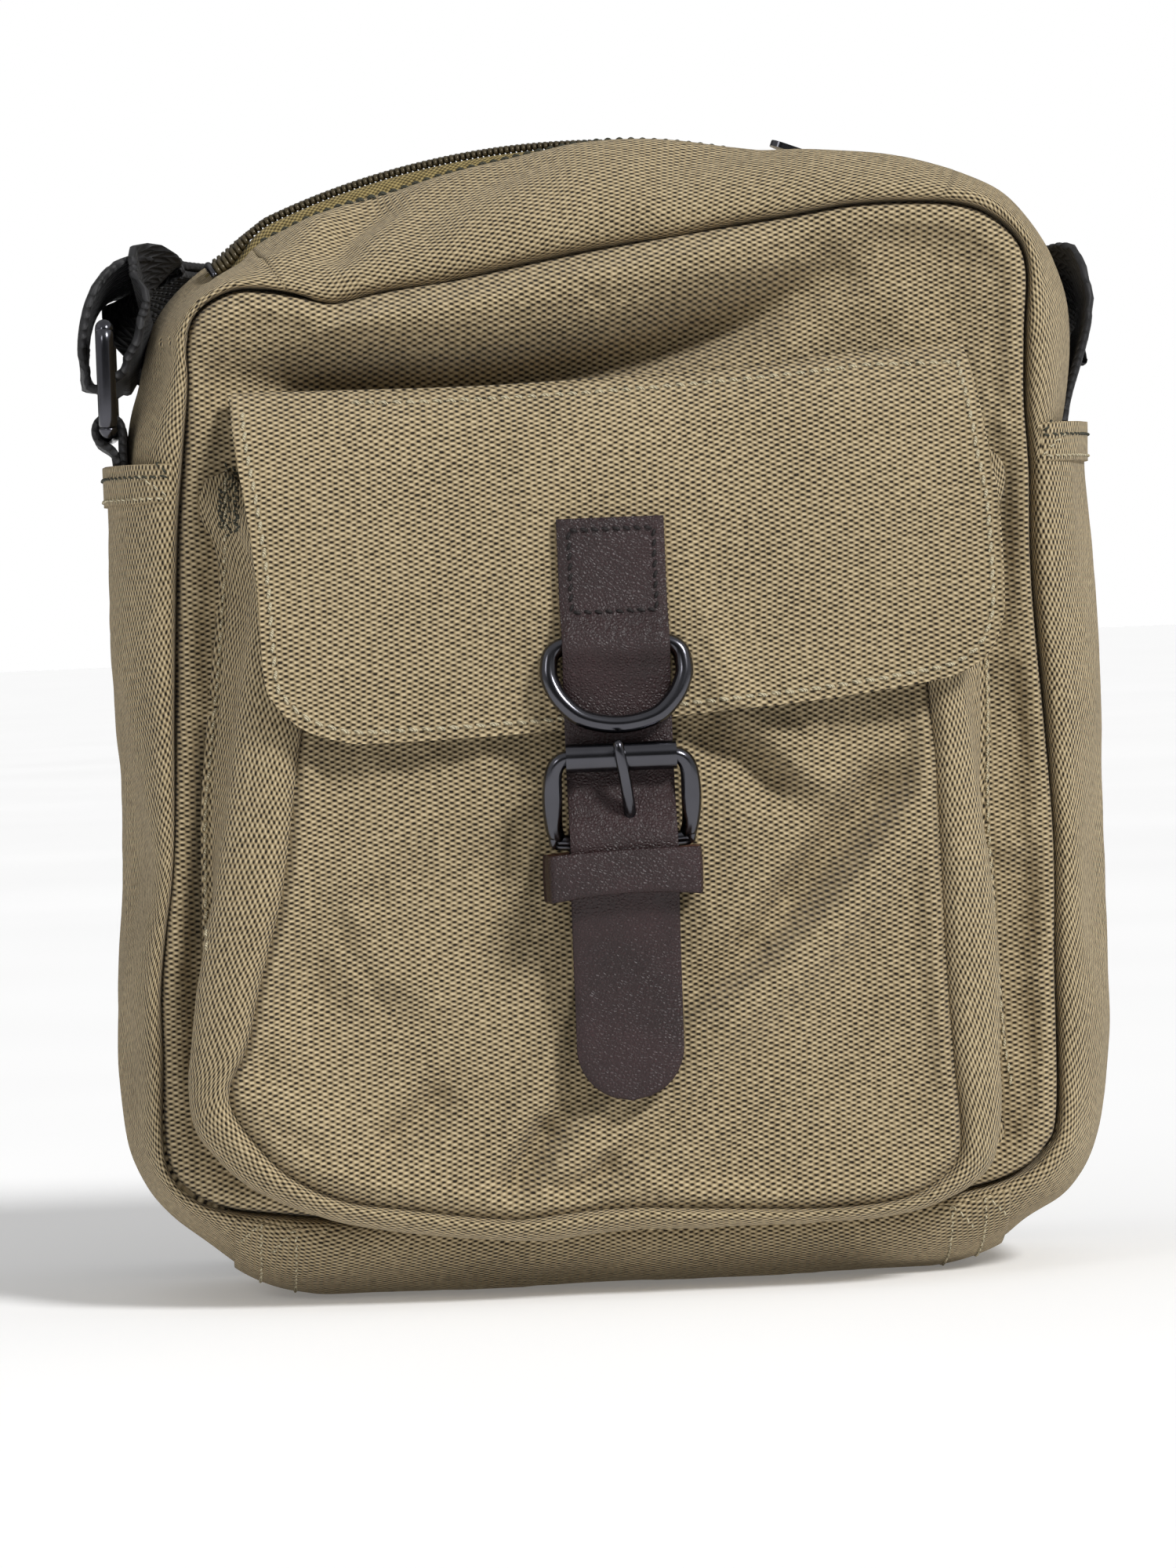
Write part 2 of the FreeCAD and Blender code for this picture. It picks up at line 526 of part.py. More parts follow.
tab_pts = [V(-109.2, 0, 176), V(-109.2, 0, 190), V(-109.6, 0, 200), V(-110.0, 0, 205.2), V(-111.1, 0, 207.6),
           V(-113.4, 0, 208.6), V(-115.7, 0, 207.6), V(-116.8, 0, 205.2), V(-115.8, 0, 201.0), V(-113.2, 0, 195.0),
           V(-111.6, 0, 188.0), V(-111.2, 0, 176.0)]
tab_w, tab_n = [], []
for i in range(len(tab_pts)):
    d = (tab_pts[min(i + 1, len(tab_pts) - 1)] - tab_pts[max(i - 1, 0)]).normalize()
    tab_w.append(V(0, 1, 0))
    tab_n.append(d.cross(V(0, 1, 0)))
save("webbing_tab", ribbon(tab_pts, tab_w, tab_n, WEB_HALF, 1.6))

# adjuster on the straight run behind the back: outer frame, inner centre bar, sewn strap end round the bar
ax, az = -84.0, ADJUSTER_Z
plate = block(ax - 23.0, ax + 23.0, 63.4, 65.8, az - 13, az + 13)
plate = plate.makeFillet(2.0, [e for e in plate.Edges if e.BoundBox.YLength > 1])
plate = plate.cut(block(ax - 20.2, ax + 20.2, 50, 70, az - 10.0, az + 10.0))
for s in (-1, 1):
    lug = block(min(s * 20.2, s * 23) + ax, max(s * 20.2, s * 23) + ax, 57.0, 63.6, az - 2, az + 2)
    plate = plate.fuse(lug)
plate = plate.fuse(bar(ax - 21, ax + 21, 58.4, az, 1.2))
save("strap_adjuster", plate)
end = Part.makeCylinder(2.4, 2 * WEB_HALF, V(ax - WEB_HALF, 58.4, az), V(1, 0, 0))
save("strap_end_loop", end.cut(bar(ax - 30, ax + 30, 58.4, az, 1.22)))
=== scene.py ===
import bpy
import random
from math import sin, cos, pi, tanh, radians, degrees, sqrt, atan2, exp, hypot
from mathutils import Vector, Matrix, noise
from mathutils.bvhtree import BVHTree
from mathutils.kdtree import KDTree


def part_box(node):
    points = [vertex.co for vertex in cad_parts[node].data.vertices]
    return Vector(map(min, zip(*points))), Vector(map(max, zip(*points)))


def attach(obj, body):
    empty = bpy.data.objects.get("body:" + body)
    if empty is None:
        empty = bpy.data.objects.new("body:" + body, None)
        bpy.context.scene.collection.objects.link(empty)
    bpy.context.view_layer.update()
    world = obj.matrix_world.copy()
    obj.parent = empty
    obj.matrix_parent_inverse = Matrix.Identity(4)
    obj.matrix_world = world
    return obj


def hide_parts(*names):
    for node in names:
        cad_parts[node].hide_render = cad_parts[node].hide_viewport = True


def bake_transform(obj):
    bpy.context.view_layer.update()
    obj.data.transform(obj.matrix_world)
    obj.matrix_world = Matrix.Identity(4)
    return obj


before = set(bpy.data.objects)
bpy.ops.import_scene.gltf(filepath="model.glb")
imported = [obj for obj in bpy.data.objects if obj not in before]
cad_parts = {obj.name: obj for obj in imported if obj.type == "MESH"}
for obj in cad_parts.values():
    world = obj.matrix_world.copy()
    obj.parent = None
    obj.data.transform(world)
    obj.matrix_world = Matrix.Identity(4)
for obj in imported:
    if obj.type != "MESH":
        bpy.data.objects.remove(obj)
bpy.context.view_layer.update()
print("frame loaded")
random.seed(7)
scene = bpy.context.scene
scene.view_settings.view_transform = "Standard"
mm = 0.001
castFrom = 0.3


# small helpers
def lerp(a, b, t):
    return a + (b - a) * t


def smooth(t):
    t = max(0.0, min(1.0, t))
    return t * t * (3 - 2 * t)


def catmull(p0, p1, p2, p3, t):
    return 0.5 * ((2 * p1) + (p2 - p0) * t + (2 * p0 - 5 * p1 + 4 * p2 - p3) * t * t
                  + (3 * p1 - p0 - 3 * p2 + p3) * t * t * t)


def curveThrough(points, step=1.0, closed=False):
    # evenly spaced points on a smooth line through the given ones, in mm
    pts = [Vector(p) for p in points]
    n = len(pts)
    dense = []
    spans = n if closed else n - 1
    for i in range(spans):
        if closed:
            q = [pts[(i + k) % n] for k in (-1, 0, 1, 2)]
        else:
            q = [pts[max(0, i - 1)], pts[i], pts[i + 1], pts[min(n - 1, i + 2)]]
        for k in range(12):
            dense.append(catmull(q[0], q[1], q[2], q[3], k / 12))
    dense.append(pts[0].copy() if closed else pts[-1].copy())
    total = sum((dense[i + 1] - dense[i]).length for i in range(len(dense) - 1))
    count = max(2, int(round(total / step)))
    out, at, i = [], 0.0, 0
    for k in range(count + 1):
        want = total * k / count
        while i < len(dense) - 2 and at + (dense[i + 1] - dense[i]).length < want:
            at += (dense[i + 1] - dense[i]).length
            i += 1
        seg = (dense[i + 1] - dense[i]).length
        out.append(dense[i].lerp(dense[i + 1], min(1.0, (want - at) / max(seg, 1e-9))))
    return out[:-1] if closed else out


def newMesh(name, verts, faces, uvs=None, slots=None):
    # verts in mm, uvs in mm per vertex
    mesh = bpy.data.meshes.new(name)
    mesh.from_pydata([Vector(v) * mm for v in verts], [], faces)
    if uvs:
        layer = mesh.uv_layers.new(name="UVMap")
        for loop in mesh.loops:
            u, v = uvs[loop.vertex_index]
            layer.data[loop.index].uv = (u * mm, v * mm)
    mesh.polygons.foreach_set("use_smooth", [True] * len(mesh.polygons))
    if slots:
        mesh.polygons.foreach_set("material_index", slots)
    mesh.update()
    ob = bpy.data.objects.new(name, mesh)
    scene.collection.objects.link(ob)
    return ob


def shellFromGrid(name, grid, thick, uvs, edgeSlot=False, wrap=False):
    # solid sheet from rows of outer points, pushed inwards along its normals
    nu, nv = len(grid), len(grid[0])
    normals = []
    for i in range(nu):
        row = []
        ahead = grid[(i + 1) % nu if wrap else min(i + 1, nu - 1)]
        behind = grid[(i - 1) % nu if wrap else max(i - 1, 0)]
        for j in range(nv):
            a = ahead[j] - behind[j]
            b = grid[i][min(j + 1, nv - 1)] - grid[i][max(j - 1, 0)]
            c = a.cross(b)
            row.append(c.normalized() if c.length > 1e-9 else Vector((0, -1, 0)))
        normals.append(row)
    verts = [p for row in grid for p in row]
    verts += [grid[i][j] - normals[i][j] * thick for i in range(nu) for j in range(nv)]
    flat = [uvs[i][j] for i in range(nu) for j in range(nv)] * 2
    base = nu * nv
    faces, slots = [], []
    rimSlot = 1 if edgeSlot else 0

    def quad(a, b, c, d, slot=0):
        faces.append((a, b, c, d))
        slots.append(slot)

    for i in range(nu if wrap else nu - 1):
        for j in range(nv - 1):
            a, b = i * nv + j, ((i + 1) % nu) * nv + j
            quad(a, b, b + 1, a + 1)
            quad(base + a, base + a + 1, base + b + 1, base + b)
    if not wrap:
        rim = [(0, j) for j in range(nv)] + [(i, nv - 1) for i in range(1, nu)]
        rim += [(nu - 1, j) for j in range(nv - 2, -1, -1)] + [(i, 0) for i in range(nu - 2, -1, -1)]
        for p, q in zip(rim, rim[1:]):
            a, b = p[0] * nv + p[1], q[0] * nv + q[1]
            quad(a, b, base + b, base + a, rimSlot)
    else:
        for i in range(nu):
            a, b = i * nv, ((i + 1) % nu) * nv
            quad(b, a, base + a, base + b, rimSlot)
            quad(a + nv - 1, b + nv - 1, base + b + nv - 1, base + a + nv - 1, rimSlot)
    return newMesh(name, verts, faces, flat, slots)


def tube(name, path, radius, sides=8, closed=False):
    # round rod along points in mm
    n = len(path)
    verts, faces, uvs = [], [], []
    up = Vector((0, 0, 1))
    run = 0.0
    last = None
    for i, p in enumerate(path):
        a = path[(i - 1) % n] if closed or i > 0 else p
        b = path[(i + 1) % n] if closed or i < n - 1 else p
        d = (b - a).normalized()
        if last is None:
            x = d.cross(up)
            x = x if x.length > 0.1 else d.cross(Vector((1, 0, 0)))
        else:
            x = last - d * last.dot(d)
        x.normalize()
        last = x
        y = d.cross(x)
        r = radius[i] if isinstance(radius, list) else radius
        for k in range(sides):
            t = 2 * pi * k / sides
            verts.append(p + (x * cos(t) + y * sin(t)) * r)
            uvs.append((run, k * 2 * pi * r / sides))
        if i < n - 1:
            run += (path[i + 1] - p).length
    for i in range(n if closed else n - 1):
        for k in range(sides):
            a, b = i * sides + k, i * sides + (k + 1) % sides
            c, d = ((i + 1) % n) * sides + (k + 1) % sides, ((i + 1) % n) * sides + k
            faces.append((a, d, c, b))
    if not closed:
        faces.append(tuple(range(sides)))
        faces.append(tuple(range((n - 1) * sides, n * sides))[::-1])
    return newMesh(name, verts, faces, uvs)


def joinAll(name, obs):
    bpy.ops.object.select_all(action="DESELECT")
    for o in obs:
        o.select_set(True)
    bpy.context.view_layer.objects.active = obs[0]
    bpy.ops.object.join()
    obs[0].name = name
    obs[0].data.name = name
    return obs[0]


def tree(*obs):
    verts, polys, base = [], [], 0
    for o in obs:
        verts += [o.matrix_world @ v.co for v in o.data.vertices]
        polys += [[base + k for k in p.vertices] for p in o.data.polygons]
        base = len(verts)
    return BVHTree.FromPolygons(verts, polys)


def dropOn(surface, point, way):
    # where a line through point (mm) meets the surface, and its normal
    start = Vector(point) * mm - Vector(way) * castFrom
    hit, normal, _, _ = surface.ray_cast(start, Vector(way))
    if hit is None:
        return None, None
    if normal.dot(Vector(way)) > 0:
        normal = -normal
    return hit / mm, normal


threadShape = {"lift": 0.26, "gap": 0.26, "twist": 0.5, "sink": 0.4, "jitter": 0.05, "sides": 6, "rings": 7}


def stitchRow(name, points, pitch, width, normals):
    # separate thread stitches along points in mm, each dipping into the cloth at both ends
    verts, faces = [], []
    total = [0.0]
    for a, b in zip(points, points[1:]):
        total.append(total[-1] + (b - a).length)
    count = max(1, int(total[-1] / pitch))

    def at(s):
        i = 0
        while i < len(total) - 2 and total[i + 1] < s:
            i += 1
        t = (s - total[i]) / max(total[i + 1] - total[i], 1e-9)
        n = normals[i].lerp(normals[i + 1], t)
        p = points[i].lerp(points[i + 1], t)
        return p, n.normalized(), (points[i + 1] - points[i]).normalized()

    sides, rings, gap = threadShape["sides"], threadShape["rings"], threadShape["gap"]
    for k in range(count):
        s0 = total[-1] * (k + gap / 2) / count
        s1 = total[-1] * (k + 1 - gap / 2) / count
        jig = random.uniform(-threadShape["jitter"], threadShape["jitter"])
        base = len(verts)
        for r in range(rings):
            f = r / (rings - 1)
            p, n, d = at(lerp(s0, s1, f))
            side = d.cross(n).normalized()
            rise = sin(pi * f)
            rad = width / 2 * (0.45 + 0.55 * sqrt(max(0.0, rise)))
            mid = p + n * (threadShape["lift"] + (rise - 1) * threadShape["sink"])
            mid = mid + side * (jig + threadShape["twist"] * (f - 0.5))
            for q in range(sides):
                t = 2 * pi * q / sides
                verts.append(mid + side * cos(t) * rad + n * sin(t) * rad)
        for r in range(rings - 1):
            for q in range(sides):
                a, b = base + r * sides + q, base + r * sides + (q + 1) % sides
                faces.append((a, b, b + sides, a + sides))
        faces.append(tuple(base + q for q in range(sides))[::-1])
        faces.append(tuple(base + (rings - 1) * sides + q for q in range(sides)))
    return newMesh(name, verts, faces)


def layOn(surface, points, way):
    # points dropped on the surface, with its normals
    pts, nrm = [], []
    for p in points:
        hit, n = dropOn(surface, p, way)
        if hit is not None:
            pts.append(hit)
            nrm.append(n)
    return pts, nrm


def rowOn(surface, points, way, step=1.0):
    # a smooth line through points, laid on the surface
    return layOn(surface, curveThrough(points, step), way)


def ridge(x, z, line, width, height):
    # soft ridge or valley along a broken line, fading at its ends
    best, along, total = 1e9, 0.0, 0.0
    lengths = [hypot(b[0] - a[0], b[1] - a[1]) for a, b in zip(line, line[1:])]
    whole = sum(lengths)
    for (a, b), ln in zip(zip(line, line[1:]), lengths):
        ux, uz = (b[0] - a[0]) / ln, (b[1] - a[1]) / ln
        t = max(0.0, min(ln, (x - a[0]) * ux + (z - a[1]) * uz))
        d = hypot(x - a[0] - ux * t, z - a[1] - uz * t)
        if d < best:
            best, along = d, total + t
        total += ln
    f = along / whole
    fade = smooth(f / 0.25) * smooth((1 - f) / 0.25) * 0.75 + 0.25
    return height * fade * exp(-(best / width) ** 2)


def soft(x, z, size, seed):
    return noise.noise(Vector((x / size, z / size, seed)))


# materials
class Graph:
    def __init__(self, name):
        self.mat = bpy.data.materials.new(name)
        self.mat.use_nodes = True
        self.tree = self.mat.node_tree
        self.tree.nodes.clear()
        self.out = self.add("ShaderNodeOutputMaterial")
        self.bsdf = self.add("ShaderNodeBsdfPrincipled")
        self.link(self.bsdf.outputs[0], self.out.inputs[0])

    def add(self, kind, **props):
        node = self.tree.nodes.new(kind)
        for k, v in props.items():
            setattr(node, k, v)
        return node

    def link(self, a, b):
        self.tree.links.new(a, b)

    def put(self, socket, value):
        if isinstance(value, bpy.types.NodeSocket):
            self.link(value, socket)
        else:
            socket.default_value = value

    def math(self, op, a, b=0.0, c=0.0, clamp=False):
        node = self.add("ShaderNodeMath", operation=op, use_clamp=clamp)
        for s, v in zip(node.inputs, (a, b, c)):
            self.put(s, v)
        return node.outputs[0]

    def mix(self, f, a, b):
        node = self.add("ShaderNodeMix", data_type="RGBA", blend_type="MIX")
        self.put(node.inputs[0], f)
        self.put(node.inputs[6], a)
        self.put(node.inputs[7], b)
        return node.outputs[2]

    def noise(self, where, scale, detail=3.0, rough=0.5, out=0):
        node = self.add("ShaderNodeTexNoise")
        self.put(node.inputs["Vector"], where)
        node.inputs["Scale"].default_value = scale
        node.inputs["Detail"].default_value = detail
        node.inputs["Roughness"].default_value = rough
        return node.outputs[out]

    def ramp(self, f, stops):
        node = self.add("ShaderNodeValToRGB")
        self.put(node.inputs[0], f)
        els = node.color_ramp.elements
        while len(els) < len(stops):
            els.new(0.5)
        for e, (p, c) in zip(els, stops):
            e.position = p
            e.color = (*c, 1)
        return node.outputs[0]

    def bump(self, height, distance, strength=1.0):
        node = self.add("ShaderNodeBump")
        node.inputs["Strength"].default_value = strength
        node.inputs["Distance"].default_value = distance
        self.put(node.inputs["Height"], height)
        return node.outputs[0]

    def shifted(self, where, field, amount):
        # where, moved by a noise field; amount in metres
        node = self.add("ShaderNodeVectorMath", operation="MULTIPLY_ADD")
        self.link(field, node.inputs[0])
        node.inputs[1].default_value = amount
        self.link(where, node.inputs[2])
        return node.outputs[0]

    def fixed(self, values):
        # constants on the surface shader's own sockets
        for name, value in values.items():
            self.bsdf.inputs[name].default_value = value

    def place(self, kind="UV"):
        return self.add("ShaderNodeTexCoord").outputs[kind]


def srgb(r, g, b):
    # 0-255 colour as linear
    return tuple((c / 255 / 12.92) if c / 255 < 0.04045 else ((c / 255 + 0.055) / 1.055) ** 2.4
                 for c in (r, g, b))


clothLook = {"yarnShift": (0.0005, 0.0004, 0), "drift": (0.003, 0.003, 0), "round": 1.05, "hairs": 0.44,
             "yarns": 0.5, "wear": 0.10, "rough": 0.9, "stops": (0.12, 0.46, 0.92)}


def weave(name, light, mid, dark, cell=(2.52, 1.24), depth=0.3):
    # plain weave of thick yarns: staggered wide ovals with painted shade in the pits between them, lighter
    # crowns and slow colour drift
    g = Graph(name)
    uv = g.place("UV")
    warp = g.noise(uv, 300, 2.0, 0.5, 1)
    slow = g.noise(uv, 28, 2.0, 0.5, 1)
    near = g.shifted(uv, warp, clothLook["yarnShift"])
    far = g.shifted(near, slow, clothLook["drift"])
    xyz = g.add("ShaderNodeSeparateXYZ")
    g.link(far, xyz.inputs[0])
    u = g.math("MULTIPLY", xyz.outputs[0], 2 * pi / (cell[0] * mm))
    v = g.math("MULTIPLY", xyz.outputs[1], 2 * pi / (cell[1] * mm))
    lattice = g.math("MULTIPLY", g.math("COSINE", u), g.math("COSINE", v))
    bead = g.math("POWER", g.math("MULTIPLY_ADD", lattice, 0.499, 0.5), clothLook["round"])
    # yarn-sized variation, fibres and drifting patches
    hairs, yarns = clothLook["hairs"], clothLook["yarns"]
    grain = g.noise(uv, 620, 1.0, 0.5)
    stretch = g.add("ShaderNodeVectorMath", operation="MULTIPLY")
    g.link(uv, stretch.inputs[0])
    stretch.inputs[1].default_value = (0.45, 1.6, 1.0)
    fibre = g.noise(stretch.outputs[0], 4200, 3.0, 0.7)
    patch = g.noise(uv, 38, 4.0, 0.6)
    level = g.math("ADD", bead, g.math("MULTIPLY_ADD", fibre, hairs, -hairs / 2))
    level = g.math("ADD", level, g.math("MULTIPLY_ADD", grain, yarns, -yarns / 2))
    level = g.math("ADD", level,
                   g.math("MULTIPLY_ADD", patch, clothLook["wear"] * 2, -clothLook["wear"]), clamp=True)
    # colour follows the yarn height: the pits get the dark stop as painted shade and the crowns the light
    # stop; fibre, yarn and patch noise add random tone
    g.put(g.bsdf.inputs["Base Color"], g.ramp(level, list(zip(clothLook["stops"], (dark, mid, light)))))
    g.fixed({"Roughness": clothLook["rough"], "Specular IOR Level": 0.16, "Sheen Weight": 0.08,
             "Sheen Roughness": 0.6})
    height = g.math("ADD", bead, g.math("MULTIPLY", fibre, 0.3))
    g.link(g.bump(height, depth * mm, 1.0), g.bsdf.inputs["Normal"])
    return g.mat


def leatherMat(name, base, light, rough=0.46, edge=False):
    g = Graph(name)
    where = g.place("Object")
    cells = g.add("ShaderNodeTexVoronoi", feature="DISTANCE_TO_EDGE")
    wob = g.noise(where, 900, 2.0, 0.5, 1)
    g.link(g.shifted(where, wob, (0.0005, 0.0005, 0.0005)), cells.inputs["Vector"])
    cells.inputs["Scale"].default_value = 1250
    pebble = g.math("MINIMUM", g.math("MULTIPLY", cells.outputs["Distance"], 2.6), 1.0)
    pores = g.noise(where, 3200, 2.0, 0.6)
    cloudy = g.noise(where, 60, 4.0, 0.6)
    tone = g.math("ADD", g.math("MULTIPLY", cloudy, 0.7), g.math("MULTIPLY", pebble, 0.3))
    g.put(g.bsdf.inputs["Base Color"], g.ramp(tone, [(0.25, base), (0.85, light)]))
    g.put(g.bsdf.inputs["Roughness"], g.math("MULTIPLY_ADD", cloudy, 0.16, rough - 0.08))
    g.bsdf.inputs["Specular IOR Level"].default_value = 0.2 if edge else 0.42
    height = g.math("ADD", g.math("MULTIPLY", pebble, 0.7), g.math("MULTIPLY", pores, 0.3))
    g.link(g.bump(height, 0.00022, 1.0), g.bsdf.inputs["Normal"])
    return g.mat


def metalMat(name, colour, rough=0.16):
    g = Graph(name)
    where = g.place("Object")
    streak = g.noise(where, 700, 3.0, 0.6)
    blot = g.noise(where, 90, 3.0, 0.6)
    g.put(g.bsdf.inputs["Base Color"], g.mix(blot, (*colour, 1), (*[c * 1.35 for c in colour], 1)))
    g.bsdf.inputs["Metallic"].default_value = 1.0
    g.put(g.bsdf.inputs["Roughness"], g.math("MULTIPLY_ADD", blot, 0.12, rough - 0.03))
    g.link(g.bump(streak, 0.000015, 0.5), g.bsdf.inputs["Normal"])
    return g.mat


def threadMat(name, light, dark):
    g = Graph(name)
    where = g.place("Object")
    wave = g.add("ShaderNodeTexWave", wave_type="BANDS", bands_direction="DIAGONAL")
    g.link(where, wave.inputs["Vector"])
    wave.inputs["Scale"].default_value = 900
    wave.inputs["Distortion"].default_value = 1.5
    g.put(g.bsdf.inputs["Base Color"], g.mix(wave.outputs["Fac"], (*dark, 1), (*light, 1)))
    g.put(g.bsdf.inputs["Roughness"], 0.7)
    g.link(g.bump(wave.outputs["Fac"], 0.00008, 0.8), g.bsdf.inputs["Normal"])
    return g.mat


def webbingMat(name, light, dark, across=1.5, along=1.9):
    # heavy ribbed tape: chevron ribs along its length with shallow cross ridges
    g = Graph(name)
    uv = g.place("UV")
    xyz = g.add("ShaderNodeSeparateXYZ")
    g.link(uv, xyz.inputs[0])
    u = g.math("DIVIDE", xyz.outputs[0], along * mm)
    v = g.math("DIVIDE", xyz.outputs[1], across * mm)
    col = g.math("MODULO", g.math("ABSOLUTE", g.math("FLOOR", v)), 2.0)
    fv = g.math("SUBTRACT", g.math("FRACT", v), 0.5)
    lean = g.math("MULTIPLY", fv, g.math("MULTIPLY_ADD", col, 1.4, -0.7))
    fu = g.math("SUBTRACT",
                g.math("FRACT", g.math("ADD", g.math("ADD", u, lean), g.math("MULTIPLY", col, 0.5))), 0.5)
    bead = g.math("SUBTRACT", 1.0, g.math("ADD", g.math("MULTIPLY", g.math("MULTIPLY", fu, fu), 3.4),
                                          g.math("MULTIPLY", g.math("MULTIPLY", fv, fv), 2.6)), clamp=True)
    fibre = g.noise(uv, 4000, 2.0, 0.7)
    tone = g.math("MULTIPLY", bead, g.math("MULTIPLY_ADD", fibre, 0.8, 0.5), clamp=True)
    g.put(g.bsdf.inputs["Base Color"], g.ramp(tone, [(0.1, dark), (0.9, light)]))
    g.put(g.bsdf.inputs["Roughness"], 0.62)
    g.fixed({"Sheen Weight": 0.06, "Sheen Roughness": 0.5})
    g.link(g.bump(g.math("ADD", bead, g.math("MULTIPLY", fibre, 0.2)), 0.0004, 1.0), g.bsdf.inputs["Normal"])
    return g.mat


look = {"canvasLight": (202, 184, 148), "canvasMid": (145, 128, 97), "canvasPitShade": (26, 20, 12),
        "leather": (31, 17, 17), "leatherLight": (57, 36, 38), "gunmetal": (0.075, 0.075, 0.085),
        "webbing": (22, 21, 24), "webbingDark": (4, 4, 5), "cream": (214, 203, 172),
        "creamDark": (120, 110, 84),
        "green": (66, 66, 50), "greenDark": (32, 34, 26), "brown": (24, 14, 14), "brownDark": (10, 6, 6)}
# each weave's third colour is the painted shade in the pits between its yarns
canvas = weave("canvas", srgb(*look["canvasLight"]), srgb(*look["canvasMid"]), srgb(*look["canvasPitShade"]))
liningCloth = weave("lining", srgb(120, 110, 88), srgb(84, 76, 58), srgb(40, 34, 24),
                    cell=(1.0, 0.5), depth=0.1)
bindingCloth = weave("binding", srgb(96, 88, 66), srgb(66, 60, 42), srgb(34, 30, 20),
                     cell=(1.2, 0.6), depth=0.12)
zipCloth = weave("zipTape", srgb(168, 150, 100), srgb(120, 104, 62), srgb(66, 56, 30),
                 cell=(1.3, 0.8), depth=0.14)
leather = leatherMat("leather", srgb(*look["leather"]), srgb(*look["leatherLight"]))
leatherEdge = leatherMat("leatherEdge", srgb(84, 56, 44), srgb(130, 96, 78), 0.7, edge=True)
gunmetal = metalMat("gunmetal", look["gunmetal"])
webbing = webbingMat("webbing", srgb(*look["webbing"]), srgb(*look["webbingDark"]))
creamThread = threadMat("creamThread", srgb(*look["cream"]), srgb(*look["creamDark"]))
greenThread = threadMat("greenThread", srgb(*look["green"]), srgb(*look["greenDark"]))
brownThread = threadMat("brownThread", srgb(*look["brown"]), srgb(*look["brownDark"]))
coilPlastic = metalMat("coilPlastic", srgb(66, 57, 36), 0.34)
coilPlastic.node_tree.nodes["Principled BSDF"].inputs["Metallic"].default_value = 0.25
print("materials made")


def dress(ob, mats, body, nodes=()):
    for m in mats if isinstance(mats, (list, tuple)) else [mats]:
        ob.data.materials.append(m)
    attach(ob, body)
    if nodes:
        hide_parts(*nodes)
    return ob


# the bag's outlines, front view, mm
centre = Vector((0, 130))
bodyShape = {
    "frontSeam": [(-94.7, 224.3), (-91.5, 231.5), (-84.1, 235.7), (-76.9, 235.8), (-69.1, 234.4),
                  (-60.9, 232.6), (-51.9, 234.2), (-41, 235.9), (-29.8, 237.3), (-0.7, 242.4),
                  (23.9, 245.9), (48.5, 249), (60.8, 250.7), (73.1, 251), (85.4, 250.2), (93.3, 247.4),
                  (99.7, 241.5), (101.8, 234.1), (100.9, 220.3), (100.3, 204.1), (100.9, 187.8),
                  (100.6, 159.7), (103.4, 104.7), (102.5, 72), (101.5, 37.3), (98.1, 28.5), (92, 23.5),
                  (80, 20), (54.3, 17.4), (-0.8, 16.2), (-55.3, 18.5), (-84, 21.5), (-95, 23.5), (-102, 27),
                  (-106.5, 33), (-107.6, 42), (-107.2, 58), (-107, 73.1), (-105.4, 88), (-103.1, 104.9),
                  (-100.7, 141.6), (-98.4, 179.6), (-96.2, 200), (-95, 214.8)],
    "gusset": [(0, 270.6), (34, 270), (61, 267.2), (78, 264), (94, 257.5), (102.5, 251), (110, 240),
               (113.6, 229), (114.5, 216), (113, 199), (111, 180), (110, 150), (110, 80), (109.5, 55),
               (107.5, 42), (103.5, 30), (96, 18), (87, 9), (76, 4), (60, 2.2), (0, 2), (-60, 2.2),
               (-76, 4.5), (-87, 10), (-96, 17), (-103, 26), (-107.5, 38), (-109.5, 55), (-109, 100),
               (-108.5, 150), (-108.8, 180), (-109.6, 198), (-107, 213), (-99.5, 230), (-88.5, 240),
               (-76.5, 246.2), (-56, 254.4), (-27, 264.4), (-10, 268.4)],
    "outer": [(0, 271.5), (34, 271), (61, 268.2), (78, 265), (94, 258.5), (103.5, 252), (111.5, 241),
              (115.6, 229), (117.6, 214), (117.8, 199), (118.4, 168), (118, 103), (118, 69),
              (117.6, 52.7), (115.6, 37), (112.4, 26), (105.5, 16.5), (96, 10), (88, 4.6), (76, 0.8),
              (60, 0.1), (0, 0.1), (-60, 0.1), (-76, 1.4), (-88, 6), (-97, 13), (-105.3, 20), (-111.7, 28),
              (-115.8, 38.5), (-117.6, 55), (-117.2, 72), (-114.9, 95), (-114.6, 115), (-114.8, 150),
              (-114.6, 196), (-111.8, 213), (-102, 232), (-90, 243), (-76.5, 250), (-56, 258.6), (-27, 268),
              (-10, 270.6)],
    "samples": 720, "panelY": 37.0, "roll": 2.8, "patch": 1.6,
}


count = bodyShape["samples"]


def aroundPoint(mid, points):
    # radius from mid at even bearings, clockwise from straight up
    dense = curveThrough([(x, z, 0) for x, z in points], 0.5, True)
    marks = sorted((atan2(p.x - mid.x, p.y - mid.y) % (2 * pi), hypot(p.x - mid.x, p.y - mid.y))
                   for p in dense)
    out, k = [], 0
    for i in range(count):
        t = 2 * pi * i / count
        while k < len(marks) and marks[k][0] < t:
            k += 1
        a, b = marks[k - 1], marks[k % len(marks)]
        span = (b[0] - a[0]) % (2 * pi) or 1e-9
        out.append(lerp(a[1], b[1], ((t - a[0]) % (2 * pi)) / span))
    return out


